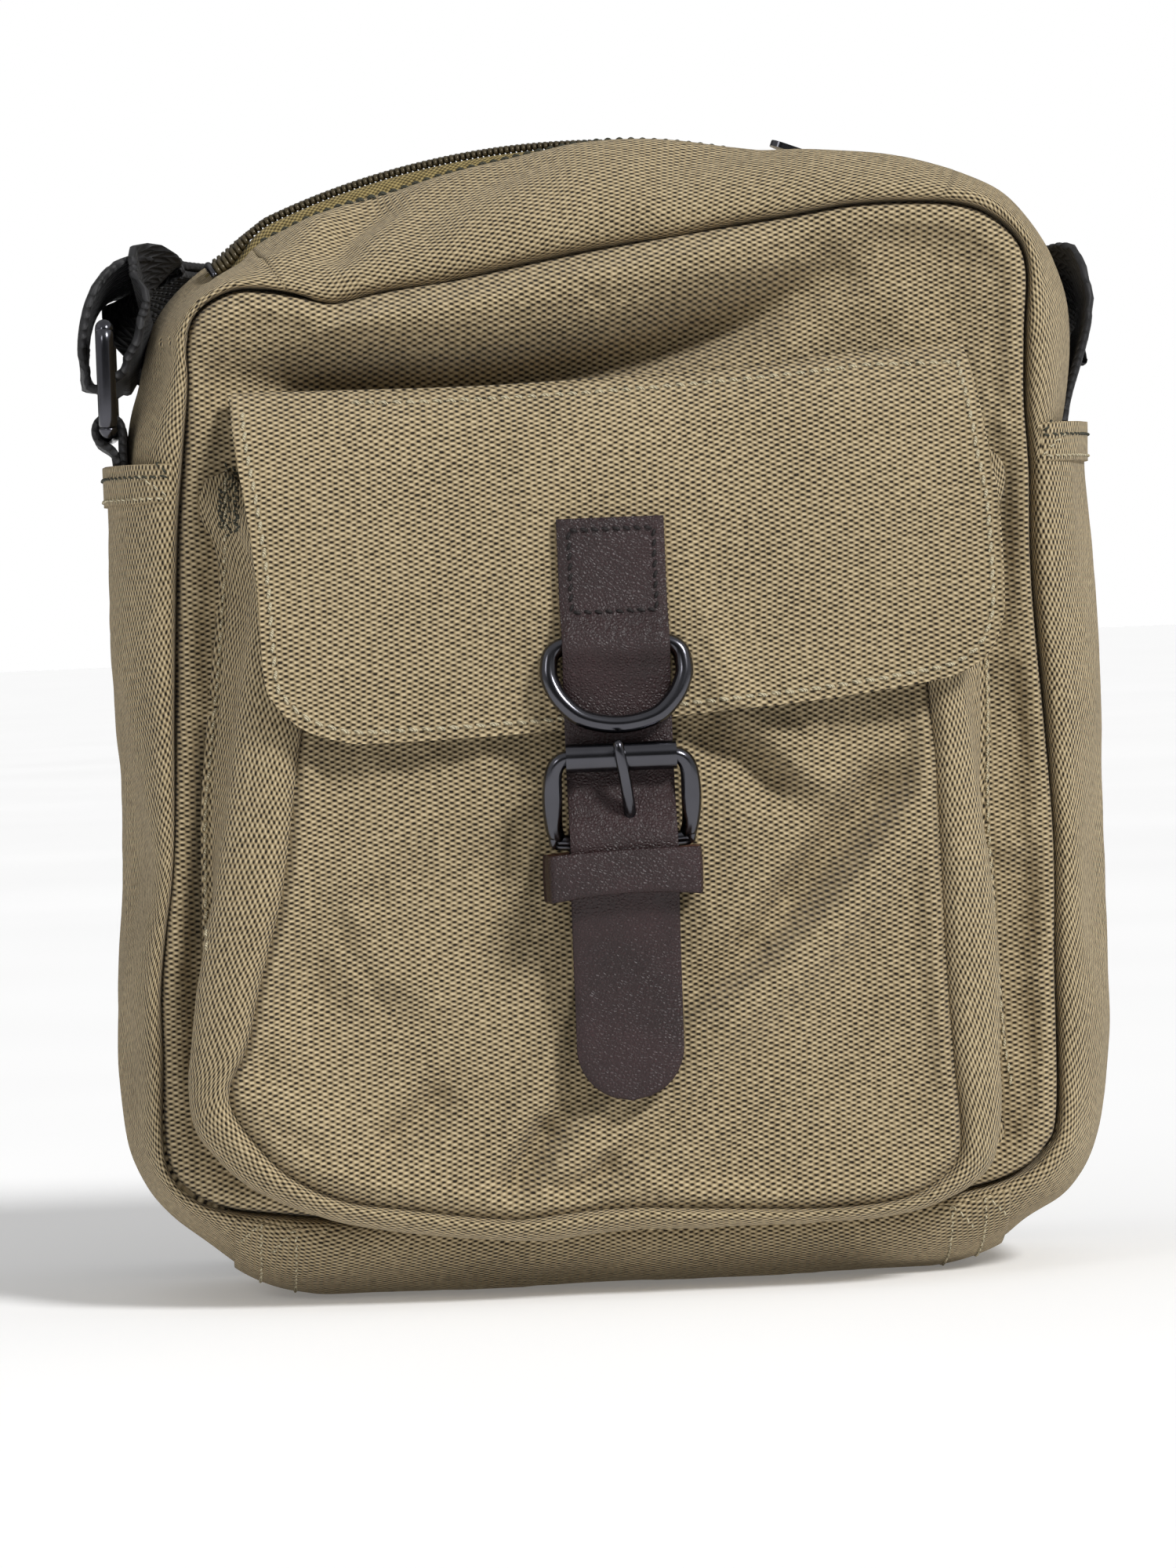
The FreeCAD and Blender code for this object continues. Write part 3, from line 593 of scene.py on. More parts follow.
seamR = aroundPoint(centre, bodyShape["frontSeam"])
gussetR = aroundPoint(centre, bodyShape["gusset"])
outerR = aroundPoint(centre, bodyShape["outer"])
gussetR = [max(a, b + bodyShape["roll"]) for a, b in zip(gussetR, seamR)]
outerR = [max(a, b + bodyShape["patch"]) for a, b in zip(outerR, gussetR)]
backR = [(seamR[i] + seamR[-i % count]) / 2 for i in range(count)]


def bearing(x, z, mid=centre):
    return degrees(atan2(x - mid.x, z - mid.y)) % 360


def spot(deg, radii):
    f = (deg % 360) / 360 * count
    i = int(f)
    r = lerp(radii[i % count], radii[(i + 1) % count], f - i)
    t = radians(deg)
    return Vector((centre.x + sin(t) * r, centre.y + cos(t) * r))


gussetRows = [(-0.02, -30.5), (0.0, -34.2), (0.04, -37.2), (0.13, -38.3), (0.30, -37.2), (0.50, -33.6),
              (0.70, -28.0), (0.86, -21.2), (0.96, -14.4), (1.0, -8.8), (1.0, 0.0)]
zipShape = {"radius": 184.6, "middle": 84.2, "endX": 80.5}


def zipReach(deg):
    # distance from the outline's centre to the zip's arc at a bearing
    t = radians(deg)
    b = 2 * (centre.y - zipShape["middle"]) * cos(t)
    c = (centre.y - zipShape["middle"]) ** 2 - zipShape["radius"] ** 2
    return (-b + sqrt(b * b - 4 * c)) / 2


def zipFall(x, y):
    # the zip's left end bends down with the shoulder and leans towards the front
    lean = 0.3 * y * smooth((-x - 77) / 9) * smooth((24 - abs(y)) / 10)
    return 4.0 * smooth((-x - 73) / 15) - lean


def zipDrop(x, y):
    # how far the tape slopes down from the teeth to its sewn edge
    return 4.2 * smooth((14 - x) / 55) * (1 - 0.7 * smooth((-x - 76) / 12)) + 0.3 + zipFall(x, y)


def rowPoint(deg, v, radii, lift=0.0):
    # v from -1 at the front seam through 0 at mid depth to 1 at the back seam
    rows = gussetRows
    a = (1 - abs(v)) * (len(rows) - 1)
    i = min(int(a), len(rows) - 2)
    t = a - i
    q = [Vector(rows[max(0, i - 1)]), Vector(rows[i]), Vector(rows[i + 1]),
         Vector(rows[min(len(rows) - 1, i + 2)])]
    w, y = catmull(q[0], q[1], q[2], q[3], t)
    inner = spot(deg, seamR) if v < 0 else spot(deg, backR)
    outer = spot(deg, radii)
    d = outer - centre
    outer = outer + d.normalized() * lift
    p = inner + (outer - inner) * w
    y = y if v < 0 else -y
    puff = 1.6 * soft(deg * 1.6, y * 0.7, 22, 3.1) + 0.7 * soft(deg * 1.6, y, 8, 9.7)
    side = smooth((w - 0.03) / 0.2)
    p = p + d.normalized() * puff * side * 0.6
    off = abs((deg + 180) % 360 - 180)
    dip = smooth((24 - abs(y)) / 14) * smooth((52 - off) / 16)
    if dip > 0:
        q = p - centre
        p = centre + q.normalized() * lerp(q.length, zipReach(deg) + lift - zipDrop(p.x, y) + 0.8, dip)
    return Vector((p.x, y, p.y))


def dentsOnGusset(p):
    # hollows where the side walls sag, and the creases running up from the dipped front seam
    push = 0.0
    if p.z > 225 and p.y < -6:
        fall = ridge(p.x, p.y, [(-61, -36), (-56, -26), (-44, -14)], 6.0, 3.4)
        fall += ridge(p.x, p.y, [(-46, -37), (-30, -26), (-8, -16)], 7.0, 1.8)
        fall -= ridge(p.x, p.y, [(-76, -33), (-68, -24), (-58, -14)], 6.5, 1.8)
        fall += ridge(p.x, p.y, [(10, -36), (30, -25), (52, -17)], 8.0, 1.6)
        return Vector((0, fall * 0.7, -fall * 0.8))
    if p.x < -90:
        push += 4.2 * exp(-((p.z - 104) / 26) ** 2 - ((p.y + 20) / 15) ** 2)
        push += 2.2 * exp(-((p.z - 60) / 14) ** 2 - ((p.y + 24) / 11) ** 2)
        push += 2.5 * exp(-((p.z - 216) / 10) ** 2 - ((p.y + 24) / 12) ** 2)
        return Vector((push * 0.8, push * 0.5, 0))
    if p.x > 90:
        push += 2.6 * exp(-((p.z - 90) / 30) ** 2 - ((p.y + 26) / 10) ** 2)
        push += 2.0 * exp(-((p.z - 180) / 22) ** 2 - ((p.y + 22) / 12) ** 2)
        return Vector((-push * 0.8, push * 0.4, 0))
    return Vector((0, 0, 0))


def bearingWhere(v, radii, low, high, passed):
    # bearing between low and high at which the gusset line at v first passes a test
    for _ in range(18):
        mid = (low + high) / 2
        if passed(rowPoint(mid, v, radii)):
            high = mid
        else:
            low = mid
    return (low + high) / 2


def levelAt(z, side, radii):
    # level cut at height z on one side wall
    if side > 0:
        return lambda v: bearingWhere(v, radii, 40, 120, lambda p: p.z < z)
    return lambda v: bearingWhere(v, radii, 240, 320, lambda p: p.z > z)


def uprightAt(x, side, radii):
    # upright cut at x on the base
    if side > 0:
        return lambda v: bearingWhere(v, radii, 110, 175, lambda p: p.x < x)
    return lambda v: bearingWhere(v, radii, 185, 250, lambda p: p.x < x)


def gussetPiece(name, degA, degB, vA, vB, radii, lift, thick, nu, nv, folds=True, start=None,
                end=None, tuck=0.0):
    grid, uvs = [], []
    vs = [lerp(vB, vA, j / nv) for j in range(nv + 1)]
    starts = [start(v) if start else degA for v in vs]
    ends = [end(v) if end else degB for v in vs]
    for i in range(nu + 1):
        row, urow, run = [], [], 0.0
        for j in range(nv + 1):
            p = rowPoint(lerp(starts[j], ends[j], i / nu), vs[j], radii, lift)
            if folds:
                p += dentsOnGusset(p)
            p.y *= 1 - tuck * smooth((191 - p.z) / 8)
            p.z = max(p.z, 0.2)
            run += (p - row[-1]).length if row else 0.0
            row.append(p)
            urow.append(run)
        grid.append(row)
        uvs.append(urow)
    mid = len(grid[0]) // 2
    along, marks = 0.0, []
    for i in range(nu + 1):
        along += (grid[i][mid] - grid[i - 1][mid]).length if i else 0.0
        marks.append(along)
    uv = [[(marks[i], uvs[i][j]) for j in range(nv + 1)] for i in range(nu + 1)]
    return shellFromGrid(name, grid, thick, uv)


zipDeg = bearing(zipShape["endX"], 249.6)
sideEnd = {"left": 212, "right": 148}

topFront = gussetPiece("topGussetFront", zipDeg, -zipDeg, -1, -0.1, gussetR, 0, 1.3, 150, 30)
topBack = gussetPiece("topGussetBack", zipDeg, -zipDeg, 0.1, 1, gussetR, 0, 1.3, 150, 30)
leftSide = gussetPiece("sideGussetLeft", 360 - zipDeg, 180, -1, 1, gussetR, 0, 1.3, 240, 64, tuck=0.08)
rightSide = gussetPiece("sideGussetRight", 180, zipDeg, -1, 1, gussetR, 0, 1.3, 240, 64, tuck=0.08)
for ob, node in ((topFront, "top_gusset_front"), (topBack, "top_gusset_back"), (leftSide, "left_gusset"),
                 (rightSide, "right_gusset")):
    dress(ob, canvas, "bag", [node])
baseEnds = {"left": -91.5, "right": 89.0}
base = gussetPiece("baseGusset", 216, 142, -0.99, 0.99, outerR, 1.1, 1.4, 200, 64, False,
                   uprightAt(baseEnds["left"], -1, outerR), uprightAt(baseEnds["right"], 1, outerR))
dress(base, canvas, "bag", ["base_gusset"])
print("gussets lofted")


# front and back panels
def panelFrom(name, radii, depthAt, thick, rings=84, spokes=720, sign=-1, mid=centre, folds=None, sewn=8.0):
    # rounds of points from the middle to the outline, UV laid flat so the weave runs straight
    front, uvs, faces = [], [], []
    for r in range(rings + 1):
        f = 1 - (1 - r / rings) ** 1.35
        for s in range(spokes if r else 1):
            t = 2 * pi * s / spokes
            rr = radii[s * len(radii) // spokes]
            x, z = mid.x + sin(t) * rr * f, mid.y + cos(t) * rr * f
            y = depthAt(x, z, (1 - f) * rr)
            if folds:
                y += folds(x, z) * smooth((1 - f) * rr / sewn)
            front.append(Vector((x, y, z)))
            uvs.append((x, z))
    verts = front + [p - Vector((0, sign * thick, 0)) for p in front]
    half = 1 + rings * spokes
    # the rim's cloth turns over the edge
    turned = [Vector(q) + (Vector(q) - mid).normalized() * (thick + 0.4) for q in uvs[half - spokes:]]
    uvs = uvs + uvs[:half - spokes] + [tuple(q) for q in turned]
    for side in (0, 1):
        b = side * half
        flip = (side == 0) != (sign < 0)
        for s in range(spokes):
            q = (s + 1) % spokes
            tri = (b, b + 1 + s, b + 1 + q)
            faces.append(tri[::-1] if flip else tri)
            for r in range(rings - 1):
                a0, a1 = b + 1 + r * spokes + s, b + 1 + r * spokes + q
                quad = (a0, a0 + spokes, a1 + spokes, a1)
                faces.append(quad[::-1] if flip else quad)
    o = 1 + (rings - 1) * spokes
    for s in range(spokes):
        q = (s + 1) % spokes
        quad = (o + s, half + o + s, half + o + q, o + q)
        faces.append(quad if sign < 0 else quad[::-1])
    return newMesh(name, verts, faces, uvs)


clothFeel = {"quality": 5, "mass": 0.25, "stretch": 18, "shear": 8, "damping": 12, "air": 2}


def clothFolds(name, radii, depthAt, mid, spec, sign=-1):
    # a light cloth pass over one panel, pinned where it is sewn; returns how far it moved at (x, z)
    rings, spokes = spec["rings"], spec["spokes"]
    verts, faces, pins = [], [], []
    for r in range(rings + 1):
        f = r / rings
        for s in range(spokes if r else 1):
            t = 2 * pi * s / spokes
            rr = radii[s * len(radii) // spokes]
            x, z = mid.x + sin(t) * rr * f, mid.y + cos(t) * rr * f
            if spec["held"](x, z) or (r == rings and not spec["free"](x, z)):
                pins.append(len(verts))
            verts.append(Vector((x, depthAt(x, z, (1 - f) * rr), z)))
    for s in range(spokes):
        q = (s + 1) % spokes
        faces.append((0, 1 + s, 1 + q))
        for r in range(rings - 1):
            a0, a1 = 1 + r * spokes + s, 1 + r * spokes + q
            faces.append((a0, a0 + spokes, a1 + spokes, a1))
    if sign > 0:
        faces = [f[::-1] for f in faces]
    ob = newMesh(name, verts, faces)
    ob.vertex_groups.new(name="sewn").add(pins, 1.0, "REPLACE")
    mod = ob.modifiers.new("cloth", "CLOTH")
    cloth = mod.settings
    cloth.quality = clothFeel["quality"]
    cloth.mass = clothFeel["mass"]
    cloth.tension_stiffness = cloth.compression_stiffness = clothFeel["stretch"]
    cloth.shear_stiffness = clothFeel["shear"]
    cloth.bending_stiffness = spec["bend"]
    cloth.tension_damping = cloth.compression_damping = clothFeel["damping"]
    cloth.air_damping = clothFeel["air"]
    cloth.vertex_group_mass = "sewn"
    cloth.shrink_min = -spec["slack"]
    cloth.use_pressure = True
    cloth.uniform_pressure_force = spec["pressure"]
    cloth.effector_weights.gravity = spec["gravity"]
    mod.collision_settings.use_collision = False
    mod.point_cache.frame_start = 1
    mod.point_cache.frame_end = spec["frames"]
    for k in range(1, spec["frames"] + 1):
        scene.frame_set(k)
    bpy.context.view_layer.objects.active = ob
    bpy.ops.object.modifier_apply(modifier="cloth")
    moved = [v.co.y / mm - p.y for v, p in zip(ob.data.vertices, verts)]
    scene.frame_set(1)
    bpy.data.objects.remove(ob)
    cap = spec["cap"]
    moved = [cap * max(-1.0, min(1.0, m / cap)) for m in moved]
    print(name, "cloth moved", round(min(moved), 2), round(max(moved), 2))
    lookup = KDTree(len(verts))
    for i, p in enumerate(verts):
        lookup.insert((p.x, 0, p.z), i)
    lookup.balance()

    def offset(x, z):
        near = lookup.find_n((x, 0, z), 5)
        total = sum(1 / (d * d + 0.6) for _, _, d in near)
        return sum(moved[i] / (d * d + 0.6) for _, i, d in near) / total
    return offset


panelFolds = {
    "roll": ([(-84, 227), (-62, 226), (-35, 228), (0, 234), (40, 240), (60, 241)], 6.5, 9.0),
    "valley": ([(-88, 215), (-60, 211), (-28, 212), (8, 217), (36, 225.5), (56, 235)], 5.8, -16.0),
    "dip": ([(-61, 234), (-60, 226)], 5.0, -4.0),
    "right": ([(60, 240), (75, 225), (88, 219)], 9.0, 1.5),
    "leftEdge": ([(-90, 215), (-93, 160), (-97, 100), (-99, 60)], 4.5, -2.0),
    "rightEdge": ([(96, 220), (94, 160), (96, 100), (95, 50)], 5.0, -2.2),
}


def frontDepth(x, z, edge):
    y = -bodyShape["panelY"] - 0.4
    y -= 2.6 * exp(-((edge - 5.5) / 4.0) ** 2)
    y += 6.5 * exp(-(edge / 1.0) ** 2)
    near = smooth(edge / 7.0)
    for line, width, height in panelFolds.values():
        y -= ridge(x, z, line, width, height) * near
    y -= (1.5 * soft(x, z, 34, 1.3) + 0.6 * soft(x, z, 13, 4.4)) * near
    return y


def backDepth(x, z, edge):
    y = bodyShape["panelY"] - 0.4
    y += 2.4 * exp(-((edge - 5.5) / 4.0) ** 2) - 8.0 * exp(-(edge / 1.7) ** 2)
    near = smooth(edge / 8.0)
    y += (2.2 * soft(x, z, 48, 8.3) + 0.8
          * soft(x, z, 17, 2.2)) * near - 2.5 * near * exp(-((z - 120) / 70) ** 2)
    return y


panelCloth = {"rings": 30, "spokes": 120, "slack": 0.022, "bend": 0.6, "pressure": 0.25, "gravity": 0.5,
              "frames": 22,
              "cap": 3.0, "held": lambda x, z: z < 196 and abs(x) < 80, "free": lambda x, z: False}
frontPanel = panelFrom("frontPanel", seamR, frontDepth, 1.3,
                       folds=clothFolds("frontCloth", seamR, frontDepth, centre, panelCloth))
dress(frontPanel, canvas, "bag", ["front_panel"])
backCloth = dict(panelCloth, slack=0.012, pressure=0.1, held=lambda x, z: False, cap=2.5)
backPanel = panelFrom("backPanel", backR, backDepth, 1.3, rings=60, spokes=360, sign=1,
                      folds=clothFolds("backCloth", backR, backDepth, centre, backCloth, 1))
dress(backPanel, canvas, "bag", ["back_panel"])
print("panels laid")


# front pocket: flat face, puffed side strip, rolled top hem
pocketShape = {
    "face": [(-66.5, 187), (0, 188), (68, 190), (70.5, 165), (73.2, 137.3), (74, 106.6),
             (74.4, 74.3), (75.4, 50), (76.2, 38), (75.5, 30), (71, 24.5), (63, 20.6), (45, 19.2), (18, 20.2),
             (-1.8, 21.2), (-19.4, 20), (-30, 19.8), (-51.5, 23.0), (-67.3, 26), (-79.1, 32.1), (-87, 40.5),
             (-91.6, 48), (-91.6, 53.5), (-87.6, 61.8), (-83.7, 77.2), (-79.1, 92.9), (-76.8, 104.5),
             (-72.6, 133), (-69, 160)],
    "edge": [(-78, 187), (0, 190), (78, 190), (80, 165), (82, 140), (84.5, 105), (86.6, 77.5),
             (86.2, 45), (84.8, 32), (81.8, 25.3), (74.8, 20.4), (62.4, 16.6), (38, 15.4), (-1.6, 15.6),
             (-15.2, 14.6), (-27.4, 14.4), (-55.4, 17.8), (-71.5, 21.8), (-87.2, 29), (-95.6, 36.8),
             (-99.6, 43), (-100.8, 52.7), (-99.8, 61.5), (-97.2, 79), (-92.8, 100), (-89, 122),
             (-84.5, 150), (-81, 170)],
    "sewn": [(-85.6, 192), (0, 192), (86, 192), (86.4, 165), (86.5, 138.4), (85.2, 105.5),
             (86.8, 60.7), (87.6, 45), (85, 32), (79, 24), (66, 18.5), (40, 16.6), (0, 16.4),
             (-30, 16.6), (-60, 20.5), (-80, 27), (-92, 37), (-95.2, 50), (-95, 65), (-94.1, 83.1),
             (-93.2, 113.4), (-91.2, 134.2), (-87.1, 168.8)],
    "faceY": -57.2,
}
pocketMid = Vector((-4, 100))


faceR = aroundPoint(pocketMid, pocketShape["face"])
edgeR = aroundPoint(pocketMid, pocketShape["edge"])
sewnR = aroundPoint(pocketMid, pocketShape["sewn"])
pocketFolds = {
    "a": ([(14, 134), (28, 125), (42, 113)], 5.0, -2.6),
    "aRidge": ([(20, 138), (36, 127), (52, 114)], 4.5, 1.6),
    "b": ([(68, 123), (50, 103), (31, 82)], 5.5, -3.2),
    "bRidge": ([(73, 114), (58, 96), (40, 76)], 5.5, 2.0),
    "c": ([(52, 90), (36, 74), (14, 58.8), (-16, 33)], 5.0, 2.8),
    "cValley": ([(44, 92), (24, 75), (4, 58), (-22, 36)], 5.0, -2.2),
    "d": ([(-40, 52), (-48, 44), (-60, 34)], 3.6, -1.6),
    "e": ([(-16, 44), (-24, 33), (-31, 22)], 3.6, -2.4),
    "f": ([(-12, 112), (-46, 90), (-82, 62)], 10.0, -1.8),
    "g": ([(-20, 126), (-52, 108), (-74, 92)], 8.0, 1.4),
    "low": ([(-20, 22), (-10, 26), (-2, 34)], 3.6, -1.6),
    "corner": ([(-88, 52), (-78, 46), (-66, 42)], 5.0, 1.4),
}


def pocketDepth(x, z, edge):
    y = pocketShape["faceY"]
    y += 2.6 * exp(-(edge / 1.6) ** 2)
    y -= 0.9 * exp(-((edge - 4.0) / 2.6) ** 2)
    near = smooth(edge / 9.0)
    for line, width, height in pocketFolds.values():
        y -= ridge(x, z, line, width * 1.12, height) * near * 2.8
    y -= (1.0 * soft(x, z, 26, 6.2) + 0.45 * soft(x, z, 11, 0.7)) * near
    y += 2.4 * smooth((z - 120) / 20)
    # bulges flatten out under the strap and the flap
    room = lerp(1.8, 6.0, smooth((124 - z) / 14) * smooth((abs(x) - 16) / 10))
    out = pocketShape["faceY"] - y
    return pocketShape["faceY"] - room * tanh(out / room) if out > 0 else y


pocketCloth = {"rings": 34, "spokes": 132, "slack": 0.03, "bend": 0.5, "pressure": 0.2, "gravity": 0.8,
               "frames": 24,
               "cap": 2.2, "held": lambda x, z: z > 165, "free": lambda x, z: False}
pocketFace = panelFrom("pocketFace", faceR, pocketDepth, 1.4, rings=80, spokes=720, mid=pocketMid,
                       folds=clothFolds("pocketCloth", faceR, pocketDepth, pocketMid, pocketCloth))
dress(pocketFace, canvas, "bag", ["pocket_panel"])


def pocketStrip(name, degA, degB, n, m):
    grid, uvs, run = [], [], 0.0
    for i in range(n + 1):
        deg = lerp(degA, degB, i / n)
        f = (deg % 360) / 360 * count
        k, t = int(f) % count, f - int(f)
        d = Vector((sin(radians(deg)), cos(radians(deg))))
        a, b, c = (lerp(r[k], r[(k + 1) % count], t) for r in (faceR, edgeR, sewnR))
        lump = 0.7 * soft(deg * 1.3, 0, 9, 5.5) + 0.4 * soft(deg * 1.3, 0, 4, 1.5)
        wide = max(b - a, 1.5)
        rows = [(a - 0.8, -53.6), (a + 0.3, -55.8), (a + 0.22 * wide, -57.6 - lump * 0.6),
                (a + 0.5 * wide, -57.0 - lump), (a + 0.82 * wide, -54.6 - lump), (b + lump * 0.5, -50.8),
                (b + 0.2 + lump * 0.4, -46.8), (lerp(b, c, 0.5), -42.6), (lerp(b, c, 0.86), -40.4),
                (c, -38.9), (c + 2.5, -38.2)]
        line = curveThrough([(r, y, 0) for r, y in rows], 0.7)
        step = (len(line) - 1) / m
        row, across, done = [], [], 0.0
        for j in range(m + 1):
            q = line[min(int(j * step), len(line) - 1)]
            q2 = line[min(int(j * step) + 1, len(line) - 1)]
            q = q.lerp(q2, j * step - int(j * step))
            p = Vector((pocketMid.x + d.x * q.x, q.y, pocketMid.y + d.y * q.x))
            done += (p - row[-1]).length if row else 0.0
            row.append(p)
            across.append(done)
        run += (row[m // 2] - grid[-1][m // 2]).length if grid else 0.0
        grid.append(row)
        uvs.append([(run, v) for v in across])
    return shellFromGrid(name, grid, 1.2, uvs)


strip = pocketStrip("pocketStrip", bearing(79, 188, pocketMid), bearing(-79, 186, pocketMid), 420, 34)
dress(strip, canvas, "bag", ["pocket_gusset"])

# rolled hem along the pocket's mouth
hemTop = [(x, pocketDepth(x, 186, 20) - 0.2, lerp(186.4, 189.4, (x + 68) / 138)) for x in range(-67, 70, 4)]
pocketHem = tube("pocketHem", curveThrough(hemTop, 1.2), 1.7, 10)
dress(pocketHem, canvas, "bag", ["pocket_welt"])
print("front pocket made")


# side pockets with doubled hems
sideShape = {"topLeft": 195.8, "topRight": 197.6, "hem": 8.6, "reach": 0.99}
reach, topL, topR, deep = (sideShape[k] for k in ("reach", "topLeft", "topRight", "hem"))
leftPocket = gussetPiece("sidePocketLeft", 300, sideEnd["left"], -reach, reach, outerR, 0, 1.3, 190, 60,
                         start=levelAt(topL, -1, outerR))
rightPocket = gussetPiece("sidePocketRight", sideEnd["right"], 60, -reach, reach, outerR, 0, 1.3, 190, 60,
                          end=levelAt(topR, 1, outerR))
leftHem = gussetPiece("sideHemLeft", 300, 290, -reach, reach, outerR, 1.0, 1.9, 16, 60,
                      start=levelAt(topL + 0.5, -1, outerR), end=levelAt(topL - deep, -1, outerR))
rightHem = gussetPiece("sideHemRight", 60, 70, -reach, reach, outerR, 1.0, 1.9, 16, 60,
                       start=levelAt(topR - deep, 1, outerR), end=levelAt(topR + 0.5, 1, outerR))
for ob, node in ((leftPocket, "left_side_pocket"), (rightPocket, "right_side_pocket"),
                 (leftHem, "left_pocket_hem"), (rightHem, "right_pocket_hem")):
    dress(ob, canvas, "bag", [node])


# seams: tight rolls that fill the grooves, and the lining inside
def seamRoll(name, radii, y, r, node):
    pts = []
    for i in range(0, count, 2):
        p = spot(i * 360 / count, radii)
        d = (p - centre).normalized()
        p = p - d * 0.9
        pts.append(Vector((p.x, y, p.y)))
    ob = tube(name, pts, r, 8, True)
    return dress(ob, bindingCloth, "bag", [node])


seamRoll("seamFront", seamR, -30.2, 1.9, "front_seam_binding")
seamRoll("seamBack", backR, 30.2, 1.9, "back_seam_binding")
liningGrid, liningUv = [], []
for i in range(180):
    row, urow = [], []
    for j in range(25):
        v = j / 24
        y = lerp(-24, 27, v)
        inner = spot(i * 2, seamR) if y < 0 else spot(i * 2, backR)
        reach = min((inner - centre).length - 3.2, (spot(i * 2, gussetR) - centre).length - 7.0)
        off = abs((i * 2 + 180) % 360 - 180)
        reach = min(reach, zipReach(i * 2) - 6) if off < 60 else reach
        d = Vector((sin(radians(i * 2)), cos(radians(i * 2))))
        row.append(Vector((centre.x + d.x * reach, y, centre.y + d.y * reach)))
        urow.append((i * 3.6, y))
    liningGrid.append(row)
    liningUv.append(urow)
lining = shellFromGrid("liningTube", liningGrid, 0.6, liningUv, wrap=True)
dress(lining, liningCloth, "bag", ["lining"])
print("side pockets and lining made")


# zip: tapes, coil and end stops
zipDetail = {"pitch": 1.32, "from": -28.6, "to": 22.6, "tapeFrom": -29.6, "tapeTo": 25.6,
             "lineR": 184, "perDegree": 3.21, "stops": (-29.0, 25.1)}


def onArc(angle, y, r):
    # point on the zip's arc, angle from straight up, clockwise
    t = radians(angle)
    return Vector((sin(t) * r, y, zipShape["middle"] + cos(t) * r))


for name, s, node in (("zipTapeFront", -1, "zip_tape_front"), ("zipTapeBack", 1, "zip_tape_back")):
    grid, uvs = [], []
    for i in range(141):
        a = lerp(zipDetail["tapeFrom"], zipDetail["tapeTo"], i / 140)
        ys = [11.5, 9.5, 7.5, 5.5, 4.0, 3.0, 1.9]
        rs = [183.2, 183.35, 183.5, 183.75, 184.0, 184.0, 183.8]
        x = sin(radians(a)) * zipDetail["lineR"]
        row = [onArc(a, s * y,
                     r - zipFall(x, s * y) - (zipDrop(x, 0) - zipFall(x, 0)) * smooth((y - 3.2) / 6))
               for y, r in zip(ys, rs)]
        if s > 0:
            row = row[::-1]
        grid.append(row)
        uvs.append([(a * zipDetail["perDegree"], p.y) for p in row])
    dress(shellFromGrid(name, grid, 0.7, uvs), zipCloth, "bag", [node])


def coilRow(name, s, node, shift):
    verts, faces = [], []
    step = degrees(zipDetail["pitch"] / zipShape["radius"])
    n = int((zipDetail["to"] - zipDetail["from"]) / step)
    for k in range(n):
        a = zipDetail["from"] + (k + shift) * step
        x = sin(radians(a)) * zipDetail["lineR"]
        fat = 1 + 0.5 * smooth((-x - 76) / 7)
        # one turn of the coil: out over the tape, up and back to the middle
        turn = [(3.3, -0.2), (3.0, 0.7), (2.1, 1.12), (0.9, 1.2), (-0.4, 0.95), (-0.8, 0.3)]
        base = len(verts)
        for i, (y, up) in enumerate(turn):
            c = onArc(a, s * y * fat, zipShape["radius"] - 0.1 + up * fat - zipFall(x, s * y))
            prev = turn[max(0, i - 1)]
            nxt = turn[min(len(turn) - 1, i + 1)]
            d = Vector((0, s * (nxt[0] - prev[0]), nxt[1] - prev[1])).normalized()
            side = Vector((cos(radians(a)), 0, -sin(radians(a))))
            top = side.cross(d)
            for q in range(6):
                t = 2 * pi * q / 6
                verts.append(c + side * cos(t) * 0.52 * fat ** 0.5 + top * sin(t) * 0.45 * fat)
        for i in range(len(turn) - 1):
            for q in range(6):
                p0, p1 = base + i * 6 + q, base + i * 6 + (q + 1) % 6
                faces.append((p0, p1, p1 + 6, p0 + 6))
        faces.append(tuple(base + q for q in range(6))[::-1])
        faces.append(tuple(base + (len(turn) - 1) * 6 + q for q in range(6)))
    return dress(newMesh(name, verts, faces), coilPlastic, "bag", [node])


coilRow("zipCoilFront", -1, "zip_coil_front", 0.0)
coilRow("zipCoilBack", 1, "zip_coil_back", 0.5)
stops = []
for a in zipDetail["stops"]:
    x = sin(radians(a)) * zipDetail["lineR"]
    pts = [onArc(a, y, zipShape["radius"] - 0.3 + up - zipFall(x, y))
           for y, up in ((-4.2, 0.0), (-3.6, 1.2), (0, 1.7), (3.6, 1.2), (4.2, 0.0))]
    stops.append(tube("stop", curveThrough([tuple(p) for p in pts], 0.5), 0.95, 12))
dress(joinAll("zipStops", stops), gunmetal, "bag", ["zip_end_stops"])
print("zip made")


# flap
flapShape = {
    "outline": [(-85.1, 210.2), (-84.6, 211.6), (-70, 211.6), (-40, 210.6), (5.4, 211.6),
                (46.9, 214.0), (70, 216.2), (84.0, 217.6), (85.4, 215), (86.2, 207), (88, 191.6),
                (89.6, 179.5), (89.9, 160), (89.2, 152.8), (86.2, 146.2), (80.4, 141.6), (71, 139.2),
                (45.6, 136.1), (18.5, 134.1), (-15.7, 131.4), (-54.6, 130.3), (-64.9, 131.5), (-72.2, 134.5),
                (-77.4, 139.5), (-80, 145.7), (-81, 168.4), (-82.5, 183.4), (-84.6, 199)],
    "line": [(218, -38.9), (213.5, -39.6), (212.3, -40.8), (209.5, -46.6), (202.0, -54.6), (190.0, -59.8),
             (175.0, -61.6), (155.0, -62.2), (127, -62.4)],
    "thick": 2.2, "stitchIn": 2.7,
}
flapMid = Vector((3, 172))
flapR = aroundPoint(flapMid, flapShape["outline"])
